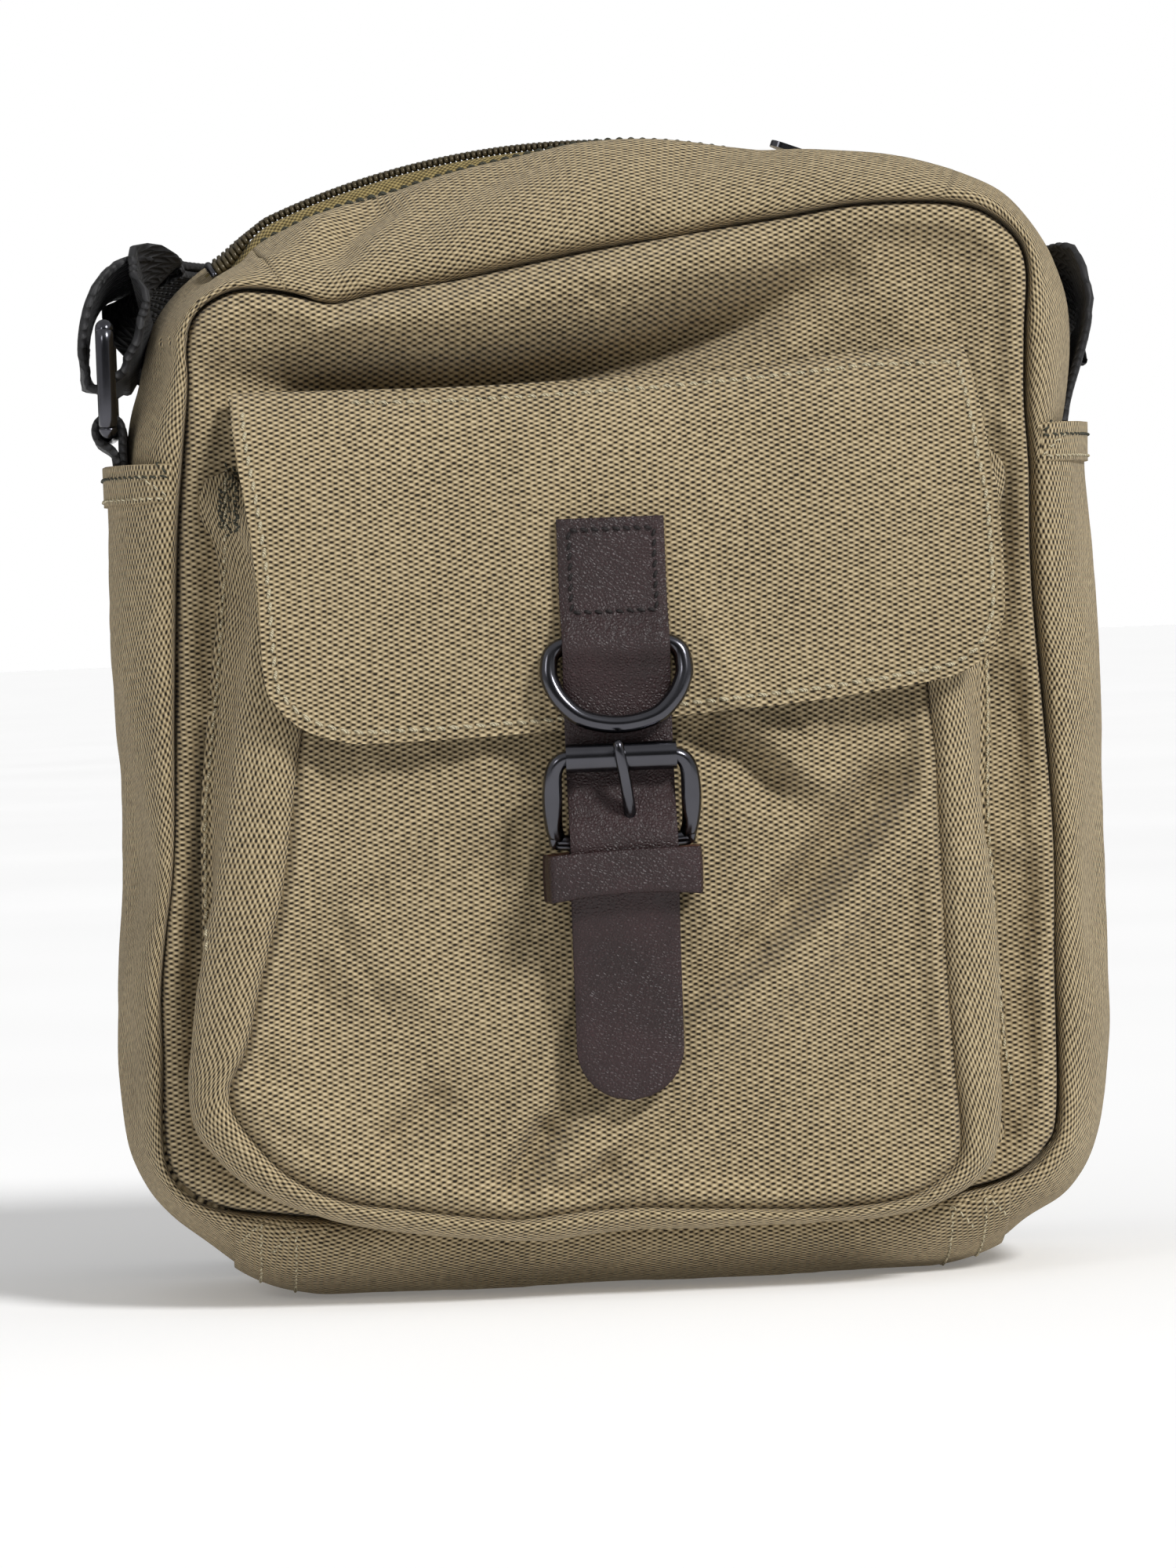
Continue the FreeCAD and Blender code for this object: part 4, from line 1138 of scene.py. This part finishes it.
flapCurve = [(p.x, p.y) for p in curveThrough([(z, y, 0) for z, y in flapShape["line"]], 0.4)]


def flapY(z):
    if z >= flapCurve[0][0]:
        return flapCurve[0][1]
    for (z0, y0), (z1, y1) in zip(flapCurve, flapCurve[1:]):
        if z1 <= z <= z0:
            return lerp(y0, y1, (z0 - z) / max(z0 - z1, 1e-9))
    return flapCurve[-1][1]


def flapDepth(x, z, edge):
    tilt = lerp(0.0, 3.6, smooth((x + 40) / 130)) * smooth((z - 150) / 60)
    y = flapY(z - tilt)
    low = smooth((205 - z) / 30)
    y += 0.5 * exp(-(edge / 1.0) ** 2)
    clear = smooth((abs(x) - 16) / 10)
    y -= (0.7 * soft(x, z, 38, 12.1) + 0.3 * soft(x, z, 15, 2.6)) * low * clear
    y -= 1.3 * smooth((x - 55) / 35) * low * smooth((190 - z) / 30)
    y -= 0.8 * smooth((-55 - x) / 30) * low * smooth((170 - z) / 30)
    return y - 0.9 * smooth((152 - z) / 18) * smooth((abs(x) - 18) / 12)


flapCloth = {"rings": 24, "spokes": 110, "slack": 0.008, "bend": 2.0, "pressure": 0.1, "gravity": 0.6,
             "frames": 18,
             "cap": 0.9, "held": lambda x, z: z > 200 or abs(x) < 19, "free": lambda x, z: z < 200}
flap = panelFrom("flap", flapR, flapDepth, flapShape["thick"], rings=70, spokes=720, mid=flapMid,
                 folds=clothFolds("flapCloth", flapR, flapDepth, flapMid, flapCloth), sewn=1.5)
flap.data.materials.append(canvas)
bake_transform(flap)
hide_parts("flap_outer", "flap_facing")
stripPts = [(-84, 208.6), (-60, 208.4), (-30, 208.2), (0, 209.0), (30, 210.6), (60, 212.6), (83, 214.4)]
grid, uvs = [], []
for p in curveThrough([(x, 0, z) for x, z in stripPts], 1.0):
    row = []
    for dz, dy in ((3.4, 0.4), (3.0, -0.2), (1.0, -0.4), (-1.0, -0.4), (-2.6, -0.2), (-3.2, 0.4)):
        row.append(Vector((p.x, -38.2 + dy, p.z + dz)))
    grid.append(row)
    uvs.append([(p.x, q.z) for q in row])
flapStrip = shellFromGrid("flapStrip", [r[::-1] for r in grid], 0.9, [u[::-1] for u in uvs])
dress(flapStrip, canvas, "bag", ["flap_strip"])
print("flap made")


# leather strap, tab and keeper
strapShape = {
    "line": [(179.6, -62.9), (172.0, -63.3), (162.0, -63.7), (156.5, -65.3), (151.0, -67.7), (145.5, -65.9),
             (139.0, -64.5), (132.0, -64.4), (125.0, -64.25), (119.0, -64.8), (113.0, -66.6), (106.0, -69.0),
             (98.0, -68.0), (90.0, -65.9), (80.0, -64.1), (65.0, -62.6), (46.5, -61.6)],
    "half": 12.3, "thick": 2.1,
}


def leatherBand(name, line, half, thick, tipLow=False):
    # flat strap following (z, y) points, with rounded edges; its raw edge is the second slot
    path = curveThrough([(0, y, z) for z, y in line], 0.8)
    n = len(path)
    rows, uvs, run = [], [], 0.0
    cols = [-1, -0.985, -0.95, -0.88] + [k / 10 for k in range(-8, 9)] + [0.88, 0.95, 0.985, 1]
    for i, p in enumerate(path):
        d = (path[min(i + 1, n - 1)] - path[max(i - 1, 0)]).normalized()
        nrm = Vector((1, 0, 0)).cross(d)
        if nrm.y > 0:
            nrm = -nrm
        run += (p - path[i - 1]).length if i else 0.0
        w = half
        left = sum((path[k + 1] - path[k]).length for k in range(i, min(n - 1, i + 40)))
        if tipLow and left < half:
            w = sqrt(max(0.02, half * half - (half - left) ** 2))
        row = []
        for c in cols:
            dome = 0.35 * (1 - c * c) - 0.35 * smooth((abs(c) - 0.9) / 0.1)
            row.append(p + Vector((c * w, 0, 0)) + nrm * (thick / 2 + dome))
        rows.append(row)
        uvs.append([(run, c * w) for c in cols])
    return shellFromGrid(name, rows, thick, uvs, edgeSlot=True)


closureStrap = leatherBand("closureStrap", strapShape["line"], strapShape["half"], strapShape["thick"], True)
dress(closureStrap, [leather, leatherEdge], "flap", ["closure_strap"])
tabLine = [(109.4, -63.4), (108.6, -61.8), (106, -60.9), (100, -61.5), (92, -61.6), (84, -61.3), (72, -61.0)]
tabShape = {"half": 12.2, "thick": 1.6}
buckleTab = leatherBand("buckleTab", tabLine, tabShape["half"], tabShape["thick"])
dress(buckleTab, [leather, leatherEdge], "flap", ["buckle_tab"])

keeperShape = {"round": 2.6, "thick": 1.4, "lift": 1.2, "gap": 0.2}
lo, hi = (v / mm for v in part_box("keeper_loop"))
keeperGrid, keeperUv = [], []
cx, cy = (lo.x + hi.x) / 2, (lo.y + hi.y) / 2 + keeperShape["gap"]
hx, hy, rr = (hi.x - lo.x) / 2, (hi.y - lo.y) / 2, keeperShape["round"]
perimeter = curveThrough([(cx - hx + rr, cy - hy, 0), (cx, cy - hy - 0.5, 0), (cx + hx - rr, cy - hy, 0),
                          (cx + hx - 0.5, cy - hy + 0.9, 0), (cx + hx, cy - hy + rr + 0.6, 0),
                          (cx + hx, cy + hy - rr, 0), (cx + hx - rr, cy + hy, 0), (cx - hx + rr, cy + hy, 0),
                          (cx - hx, cy + hy - rr, 0), (cx - hx, cy - hy + rr + 0.6, 0),
                          (cx - hx + 0.5, cy - hy + 0.9, 0)], 1.0, True)
run = 0.0
for i, p in enumerate(perimeter):
    q, o = perimeter[(i + 1) % len(perimeter)], perimeter[i - 1]
    run += (p - o).length
    d = (q - o).normalized()
    out = Vector((d.y, -d.x, 0))
    row, urow = [], []
    for z, inset in ((lo.z, 0.35), (lo.z + 0.3, 0.08), (lo.z + 1.2, 0), (lo.z + 5, -0.15), (hi.z - 1.2, 0),
                     (hi.z - 0.3, 0.08), (hi.z, 0.35)):
        curl = 0.5 * (p.x / hx) - 1.3 * (p.x / hx) ** 2 * (1 if z < (lo.z + hi.z) / 2 else 0.35)
        row.append(Vector((p.x, p.y, z + curl + keeperShape["lift"])) - Vector((out.x, out.y, 0)) * inset)
        urow.append((run, z))
    keeperGrid.append(row)
    keeperUv.append(urow)
keeper = shellFromGrid("keeperLoop", keeperGrid, keeperShape["thick"], keeperUv, edgeSlot=True, wrap=True)
dress(keeper, [leather, leatherEdge], "keeper", ["keeper_loop"])
print("leather made")


# webbing shoulder strap
webShape = {"half": 19.0, "thick": 1.7, "adjusterZ": 178.0, "stack": [1.2, 6.2, 11.2, 16.2, 21.2],
            "stackY": 64.0,
            "rows": 0.95, "tabThick": 1.6, "narrowing": 8.5,
            "down": [(84.0, 62, 198.0), (84.0, 62, 150.0), (84.0, 63, 110.0), (84.0, 64, 60.0),
                     (84.0, 64, 32.0)]}


def sideRun(side, lower, shoulder, flat):
    # from the ring or the side pocket, over the rear shoulder and down the back with a quarter turn
    pts = lower + shoulder + webShape["down"]
    mids = curveThrough([(side * x, y, z) for x, y, z in pts], 3.0)
    faces = []
    for m in mids:
        if m.z > 205:
            # faces sideways at first, up over the shoulder, then backwards
            over = smooth((m.y - 1) / (13 if flat else 22))
            back = smooth((m.y - (28 if flat else 38)) / 24)
            up = Vector((side * 0.3, 0.05, 0.95)) if flat else Vector((side * 0.72, 0, 0.7))
            n = Vector((side, 0, 0)).lerp(up, over).lerp(Vector((0, 1, 0)), back)
        elif m.y < 10:
            n = Vector((side, 0, 0))
        else:
            u = smooth((150.0 - m.z) / 100.0)
            n = Vector((side * u, 1 - u, 0))
        faces.append(n.normalized())
    out = []
    for i, m in enumerate(mids):
        d = (mids[min(i + 1, len(mids) - 1)] - mids[max(i - 1, 0)]).normalized()
        n = sum(faces[max(0, i - 4):i + 5], Vector())
        n = (n - d * n.dot(d)).normalized()
        pinch = max(0.0, 1 - abs(m.y - 26) / 34.0) if m.z > 200 else 0.0
        out.append((m, d.cross(n).normalized(), webShape["half"] - webShape["narrowing"] * smooth(pinch)))
    return out


def webbingBand(name, run, thick, node):
    verts, faces, uvs = [], [], []
    n, along, last = len(run), 0.0, None
    section = [(-1.0, 0.0), (-0.985, 0.42), (-0.94, 0.62), (-0.9, 0.5)] + [(k / 8, 0.5) for k in range(-7, 8)]
    section += [(0.9, 0.5), (0.94, 0.62), (0.985, 0.42), (1.0, 0.0)]
    section += [(c, -h) for c, h in section[-2:0:-1]]
    for i, (m, w, half) in enumerate(run):
        d = (run[min(i + 1, n - 1)][0] - run[max(i - 1, 0)][0]).normalized()
        w = (w - d * w.dot(d)).normalized()
        if last is not None and w.dot(last) < 0:
            w = -w
        last = w
        nrm = d.cross(w)
        along += (m - run[i - 1][0]).length if i else 0.0
        for c, h in section:
            ruffle = 0.25 * (i % 2) * (1 if abs(c) > 0.92 else 0)
            verts.append(m + w * (c * half + (ruffle if c > 0 else -ruffle)) + nrm * h * thick)
            uvs.append((along, c * half))
    k = len(section)
    for i in range(n - 1):
        for j in range(k):
            a, b = i * k + j, i * k + (j + 1) % k
            faces.append((a, b, b + k, a + k))
    faces.append(tuple(range(k))[::-1])
    faces.append(tuple(range((n - 1) * k, n * k)))
    return dress(newMesh(name, verts, faces, uvs), webbing, "bag", [node])


def evenRun(run, step):
    # same band with rows at an even small pitch
    out, carry = [], 0.0
    for (a, wa, ha), (b, wb, hb) in zip(run, run[1:]):
        ln = (b - a).length
        s = carry
        if wb.dot(wa) < 0:
            wb = -wb
        while s < ln:
            t = s / ln
            out.append((a.lerp(b, t), wa.lerp(wb, t), lerp(ha, hb, t)))
            s += step
        carry = s - ln
    return out


leftRun = sideRun(-1, [(119.0, 0, 218.0)],
                  [(118.9, 1, 224.0), (117.2, 3, 232.0), (112.8, 8, 238.4), (105.0, 17, 241.6),
                   (97.5, 29, 241.2), (91.5, 41, 237.0), (87.5, 51, 227.0), (84.8, 58, 213.0)], True)
rightRun = sideRun(1, [(110.2, 0, 176.0), (110.2, 0, 193.0), (112.6, 0, 205.0)],
                   [(119.0, 1, 223.5), (118.2, 6, 227.6), (111.6, 20, 231.2), (101.5, 40, 231.6),
                    (93.0, 54, 225.0), (86.5, 61, 211.0)], False)[::-1]
stackLine = [(-84, 64, 32), (-82.5, 64, 13.0), (-78.0, 64, 4.5), (-70.0, 64, 1.2)]
for i, z in enumerate(webShape["stack"]):
    s = 1 if i % 2 == 0 else -1
    stackLine += [(s * x, webShape["stackY"], z) for x in (-60, -20, 20, 60)]
    if i < len(webShape["stack"]) - 1:
        stackLine += [(s * 68, 64, z + 0.4), (s * 71, 64, z + 2.5), (s * 68, 64, z + 4.6)]
stackLine += [(72, 64, 21.6), (81.5, 64, 27.0), (84, 64, 32)]
upright = Vector((0, 1, 0))
stackRun = [(p, upright, webShape["half"]) for p in curveThrough(stackLine, 2.0)][1:-1]
innerRun = []
for i in range(1, len(leftRun) - 1):
    m, w, h = leftRun[i]
    if m.z > webShape["adjusterZ"] + 3 and m.y > 14:
        d = (leftRun[i + 1][0] - leftRun[i - 1][0]).normalized()
        side = d.cross(w)
        side = -side if side.dot(Vector((-60, 10, 190)) - m) < 0 else side
        innerRun.append((m + side * 2.4, w, h * 0.98))
innerRun.reverse()
loopLine = [(-101.6, 8, 235.6), (-103.4, 3, 229.5), (-105.6, 1, 222.5), (-108.8, 0, 216.5),
            (-113.4, 0, 213.7), (-117.2, 0, 214.8)]
skew = Vector((0.1, 0.995, 0))
loopRun = [(Vector(p), skew, webShape["half"]) for p in loopLine]
whole = innerRun + loopRun + leftRun + stackRun + rightRun
smoothed = []
for i in range(len(whole)):
    part = whole[max(0, i - 1):i + 2]
    if i in (0, len(whole) - 1):
        part = [whole[i]]
    smoothed.append((sum((p[0] for p in part), Vector()) / len(part), whole[i][1], whole[i][2]))
webbingBand("shoulderStrap", evenRun(smoothed, webShape["rows"]), webShape["thick"], "shoulder_strap")
tabPath = [(-109.9, 0, 176), (-109.9, 0, 190), (-110.3, 0, 199), (-110.3, 0, 205.2), (-111.2, 0, 207.4),
           (-113.4, 0, 208.3), (-115.6, 0, 207.4), (-116.5, 0, 205.2), (-115.9, 0, 202.9), (-114.2, 0, 201.6),
           (-112.7, 0, 200.4), (-111.9, 0, 198.0), (-111.6, 0, 190.0), (-111.6, 0, 176.0)]
tabRun = [(p, upright, webShape["half"]) for p in curveThrough(tabPath, webShape["rows"])]
webbingBand("ringTab", tabRun, webShape["tabThick"], "webbing_tab")
print("webbing made")


# bent-rod metal: ring, buckle frame, side ring
def rodRing(name, points, radius, body, node, tilt=None):
    pts = curveThrough(points, 0.5, True)
    if tilt:
        pivot, angle = tilt
        turn = Matrix.Rotation(angle, 3, "X")
        pts = [turn @ (p - pivot) + pivot for p in pts]
    ob = tube(name, pts, [radius(p) for p in pts] if callable(radius) else radius, 18, True)
    return dress(ob, gunmetal, body, [node])


ringShape = {"half": 15.4, "bar": 151.0, "rod": 2.05}
hw, zb = ringShape["half"], ringShape["bar"]
dPts = [(-6, -64.5, zb), (0, -64.5, zb), (6, -64.5, zb), (11.4, -64.5, zb - 0.2), (14.4, -64.5, zb - 1.8),
        (hw, -64.5, zb - 4.8), (hw - 0.2, -64.5, zb - 8.4), (hw - 2.6, -64.5, zb - 13.2),
        (hw - 7.4, -64.5, zb - 17.4), (0, -64.5, zb - 19.0)]
dPts = dPts + [(-x, y, z) for x, y, z in dPts[-2:2:-1]]
rodRing("dRing", dPts, ringShape["rod"], "closure_ring", "d_ring",
        (Vector((0, -64.5, 151.0)), radians(-13.5)))
frameShape = {"half": 15.4, "topY": -68.8, "topZ": 125.2, "lowY": -64.0, "lowZ": 106.0}
fw = frameShape["half"]


def framePoint(x, t):
    # t from 0 at the roller to 1 at the heel bar
    return (x, lerp(frameShape["topY"], frameShape["lowY"], t) - 0.6 * sin(pi * t),
            lerp(frameShape["topZ"], frameShape["lowZ"], t))


fPts = [framePoint(-10, 0), framePoint(0, 0), framePoint(10, 0), framePoint(13.4, 0.02),
        framePoint(15.2, 0.13),
        framePoint(fw + 0.4, 0.35), framePoint(fw + 0.4, 0.7), framePoint(15.0, 0.92), framePoint(12.6, 1.0)]
fPts += [(-x, y, z) for x, y, z in fPts[::-1][:-3]]
rodRing("buckleFrame", fPts, lambda p: 1.8 + 0.55 * exp(-((p.z - 116) / 6.5) ** 2), "flap", "buckle_frame")
sideRingShape = {"x": -113.4, "half": 22.4, "low": 205.2, "high": 229.0, "rod": 2.2}
ringX, wide, ringLow, ringHigh = (sideRingShape[k] for k in ("x", "half", "low", "high"))
sidePts = []
for s, z0, z1 in ((-1, ringLow, ringHigh), (1, ringHigh, ringLow)):
    up = 1 if z0 < z1 else -1
    sidePts += [(ringX, s * (wide - 5), z0), (ringX, s * (wide - 1.2), z0 + 1.2 * up),
                (ringX, s * wide, z0 + 5 * up), (ringX, s * wide, z1 - 5 * up),
                (ringX, s * (wide - 1.2), z1 - 1.2 * up), (ringX, s * (wide - 5), z1)]
rodRing("sideRing", sidePts, sideRingShape["rod"], "side_ring", "left_ring")

prongLine = [(1.6, -64.3, 107.6), (1.7, -66.2, 110.2), (1.6, -68.4, 112.9), (1.1, -70.9, 116.5),
             (0.5, -72.6, 120.3), (-0.1, -73.5, 123.6), (-0.6, -73.7, 126.8), (-0.9, -73.0, 129.0)]
prongShape = {"heel": 1.55, "tip": 1.2, "eye": 3.0}
prongPts = curveThrough(prongLine, 0.5)
n = len(prongPts)
prongR = [lerp(prongShape["heel"], prongShape["tip"], i / n) * (1 - 0.75 * smooth((i - n + 3) / 3))
          for i in range(n)]
prong = tube("prong", prongPts, prongR, 14)
eyePts = [Vector((lerp(-1.3, 1.6, k / 4), -64, 106)) for k in range(5)]
eye = tube("prongEye", eyePts, prongShape["eye"], 20)
dress(joinAll("prong", [prong, eye]), gunmetal, "prong", ["buckle_prong"])


# small parts carried over from the frame
finish = {"buckle_roller": gunmetal,
          "strap_adjuster": gunmetal, "zip_slider": gunmetal, "zip_pull": gunmetal,
          "snap_female": gunmetal, "snap_male": gunmetal, "strap_end_loop": webbing}
for node, mat in finish.items():
    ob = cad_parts[node]
    ob.data.materials.clear()
    ob.data.materials.append(mat)


# stitching
toBack = Vector((0, 1, 0))
sewing = {"flap": (3.1, 0.95), "box": (2.35, 0.85), "bellows": (2.9, 0.75), "tack": (1.5, 0.6),
          "hem": (2.7, 0.55)}


def insetLine(mid, points, inset, keep):
    # outline moved inwards, as world points on a front plane
    dense = curveThrough([(x, z, 0) for x, z in points], 1.0, True)
    out = []
    for i, p in enumerate(dense):
        d = (dense[(i + 2) % len(dense)] - dense[i - 2]).normalized()
        n = Vector((-d.y, d.x, 0))
        if n.dot(Vector((mid.x, mid.y, 0)) - p) < 0:
            n = -n
        q = p + n * inset
        if keep(q):
            out.append(Vector((q.x, 0, q.y)))
    return out


flapTree = tree(flap)
flapEdge = insetLine(flapMid, flapShape["outline"], flapShape["stitchIn"],
                     lambda p: p.y < 207.5 + 0.035 * (p.x + 85))
cut = max(range(len(flapEdge)), key=lambda i: (flapEdge[i] - flapEdge[i - 1]).length)
flapEdge = flapEdge[cut:] + flapEdge[:cut]
pts, nrm = layOn(flapTree, flapEdge, toBack)
flapStitch = stitchRow("flapStitch", pts, *sewing["flap"], nrm)
flapStitch.data.materials.append(creamThread)
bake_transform(flapStitch)
strapTree = tree(closureStrap)
box = [(-9.6, 177.0), (9.8, 177.0), (9.8, 158.2), (-9.6, 158.2), (-9.6, 177.0)]
boxParts = []
for i, (a, b) in enumerate(zip(box, box[1:])):
    pts, nrm = rowOn(strapTree, [(a[0], 0, a[1]), (b[0], 0, b[1])], toBack)
    boxParts.append(stitchRow("boxStitch%d" % i, pts, *sewing["box"], nrm))
boxStitch = joinAll("boxStitch", boxParts)
dress(boxStitch, brownThread, "flap")
bodyTree = tree(frontPanel, strip)
bellowsRows = {"Left": [(-86.6, 0, 195), (-87.9, 0, 168.8), (-92, 0, 134.2), (-94.6, 0, 113.4),
                        (-95.5, 0, 84)],
               "Right": [(88.2, 0, 190), (88, 0, 138.4), (87.0, 0, 105.5), (88.4, 0, 60.7), (90, 0, 44)]}
for side, points in bellowsRows.items():
    pts, nrm = rowOn(bodyTree, points, toBack)
    dress(stitchRow("bellowsStitch" + side, pts, *sewing["bellows"], nrm), creamThread, "bag")
tack = []
for k, (x, z0, z1) in enumerate(((-86.4, 179, 196), (-84.6, 180, 195), (-88.0, 181, 190))):
    pts, nrm = rowOn(bodyTree,
                     [(x + (0.7 if i % 2 else -0.7), 0, lerp(z0, z1, i / 14))
                      for i in range(15)], toBack, 0.5)
    tack.append(stitchRow("tack%d" % k, pts, *sewing["tack"], nrm))
dress(joinAll("barTack", tack), greenThread, "bag")


def sewAround(name, surface, points, thread, pitch, width):
    # stitch row over gusset points, cast back onto the cloth from outside
    pts, nrm = [], []
    for p in points:
        p = p + dentsOnGusset(p)
        out = Vector((p.x - centre.x, 0, p.z - centre.y)).normalized()
        hit, normal, _, _ = surface.ray_cast((p + out * 12) * mm, -out)
        if hit is not None:
            pts.append(hit / mm)
            nrm.append(normal if normal.dot(out) > 0 else -normal)
    return dress(stitchRow(name, pts, pitch, width, nrm), thread, "bag")


# two rows along each side of the zip: depth across the gusset and thread width
zipRows = {"FrontA": (-0.125, 0.95), "FrontB": (-0.16, 0.95), "BackA": (0.12, 0.75), "BackB": (0.165, 0.75)}
topTree, topBackTree = tree(topFront), tree(topBack)
for part, (v, width) in zipRows.items():
    points = [rowPoint(lerp(-zipDeg + 1, zipDeg - 1, i / 160), v, gussetR) for i in range(161)]
    sewAround("zipStitch" + part, topTree if v < 0 else topBackTree, points, greenThread, 2.7, width)


def crossRow(name, surface, cut, thread):
    # stitch row across the gusset along one cut line
    depths = [lerp(-0.93, 0.93, i / 90) for i in range(91)]
    sewAround(name, surface, [rowPoint(cut(v), v, outerR) for v in depths], thread, *sewing["hem"])


hemTreeL, hemTreeR = tree(leftHem, leftPocket), tree(rightHem, rightPocket)
for name, surface, side, top in (("Left", hemTreeL, -1, topL), ("Right", hemTreeR, 1, topR)):
    crossRow("hemStitch%sA" % name, surface, levelAt(top - 2.4, side, outerR), greenThread)
    crossRow("hemStitch%sB" % name, surface, levelAt(top - deep + 1.2, side, outerR), creamThread)
baseTree = tree(base)
for k, (end, side) in enumerate(((baseEnds["left"], -1), (baseEnds["right"], 1))):
    for m, off in enumerate((6.0, 14.0)):
        crossRow("baseStitch%d%d" % (k, m), baseTree, uprightAt(end - side * off, side, outerR), creamThread)
print("stitching done")


# stage, light and camera
stageShape = {"half": 30.0, "low": (0.86, 0.86, 0.86), "high": (0.9, 0.9, 0.9)}
h = stageShape["half"] / mm
cells = 12
verts = [(lerp(-h, h, i / cells), lerp(-h, h, j / cells), 0) for i in range(cells + 1)
         for j in range(cells + 1)]
faces = [(i * (cells + 1) + j, (i + 1) * (cells + 1) + j, (i + 1) * (cells + 1) + j + 1,
          i * (cells + 1) + j + 1)
         for i in range(cells) for j in range(cells)]
stage = newMesh("stageFloor", verts, faces)
g = Graph("paper")
g.put(g.bsdf.inputs["Base Color"], g.ramp(g.noise(g.place("Object"), 3.0, 2.0),
                                          [(0.3, stageShape["low"]), (0.7, stageShape["high"])]))
g.bsdf.inputs["Roughness"].default_value = 0.9
g.bsdf.inputs["Specular IOR Level"].default_value = 0.05
g.bsdf.inputs["Emission Color"].default_value = (1, 1, 1, 1)
g.bsdf.inputs["Emission Strength"].default_value = 0.15
stage.data.materials.append(g.mat)

lights = {
    "key": {"kind": "SUN", "at": (0.66, -0.92, 1.02), "size": 0.22, "power": 2.5},
    "left": {"kind": "AREA", "at": (-0.9, -1.1, 0.85), "size": 0.32, "power": 2.2},
}
for name, spec in lights.items():
    data = bpy.data.lights.new(name, spec["kind"])
    data.energy = spec["power"]
    if spec["kind"] == "SUN":
        data.angle = spec["size"]
    else:
        data.size = spec["size"]
    lamp = bpy.data.objects.new(name, data)
    lamp.location = spec["at"]
    lamp.rotation_euler = (Vector((0, -0.03, 0.13)) - lamp.location).to_track_quat("-Z", "Y").to_euler()
    scene.collection.objects.link(lamp)
world = bpy.data.worlds.new("studio")
world.use_nodes = True
sky = world.node_tree


def skyMath(op, a, b, c=0.0):
    node = sky.nodes.new("ShaderNodeMath")
    node.operation = op
    for socket, value in zip(node.inputs, (a, b, c)):
        if isinstance(value, bpy.types.NodeSocket):
            sky.links.new(value, socket)
        else:
            socket.default_value = value
    return node.outputs[0]


def skyStep(value, start, end):
    node = sky.nodes.new("ShaderNodeMapRange")
    node.interpolation_type = "SMOOTHSTEP"
    sky.links.new(value, node.inputs[0])
    node.inputs[1].default_value, node.inputs[2].default_value = start, end
    return node.outputs[0]


# dim room with a soft panel overhead and one at each side, plain white where it is seen
ways = sky.nodes.new("ShaderNodeTexCoord")
parts = sky.nodes.new("ShaderNodeSeparateXYZ")
sky.links.new(ways.outputs["Generated"], parts.inputs[0])
panels = {"room": 0.075, "over": 0.42, "sides": 0.38, "seen": 1.0}
over = skyStep(parts.outputs[2], 0.35, 0.75)
aside = skyStep(skyMath("ABSOLUTE", parts.outputs[0], 0.0), 0.55, 0.85)
glow = skyMath("MULTIPLY_ADD", over, panels["over"], panels["room"])
glow = skyMath("MULTIPLY_ADD", aside, panels["sides"], glow)
seen = sky.nodes.new("ShaderNodeLightPath")
blend = sky.nodes.new("ShaderNodeMix")
sky.links.new(seen.outputs["Is Camera Ray"], blend.inputs[0])
sky.links.new(glow, blend.inputs[2])
blend.inputs[3].default_value = panels["seen"]
sky.links.new(blend.outputs[0], sky.nodes["Background"].inputs[1])
sky.nodes["Background"].inputs[0].default_value = (1, 1, 1, 1)
scene.world = world

view = {"target": (-0.0047, -0.02, 0.118), "distance": 1.5, "azimuth": -3.5, "elevation": 1.5, "roll": 2.3,
        "lens": 146.7}
camData = bpy.data.cameras.new("camera")
camData.lens = view["lens"]
camData.sensor_width = 36
camera = bpy.data.objects.new("camera", camData)
az, el = radians(view["azimuth"]), radians(view["elevation"])
target = Vector(view["target"])
camera.location = target + view["distance"] * Vector((sin(az) * cos(el), -cos(az) * cos(el), sin(el)))
aim = (target - camera.location).to_track_quat("-Z", "Y").to_matrix()
facing = aim @ Matrix.Rotation(-radians(view["roll"]), 3, "Z")
camera.rotation_euler = facing.to_euler()
scene.collection.objects.link(camera)
scene.camera = camera

print("finished building")
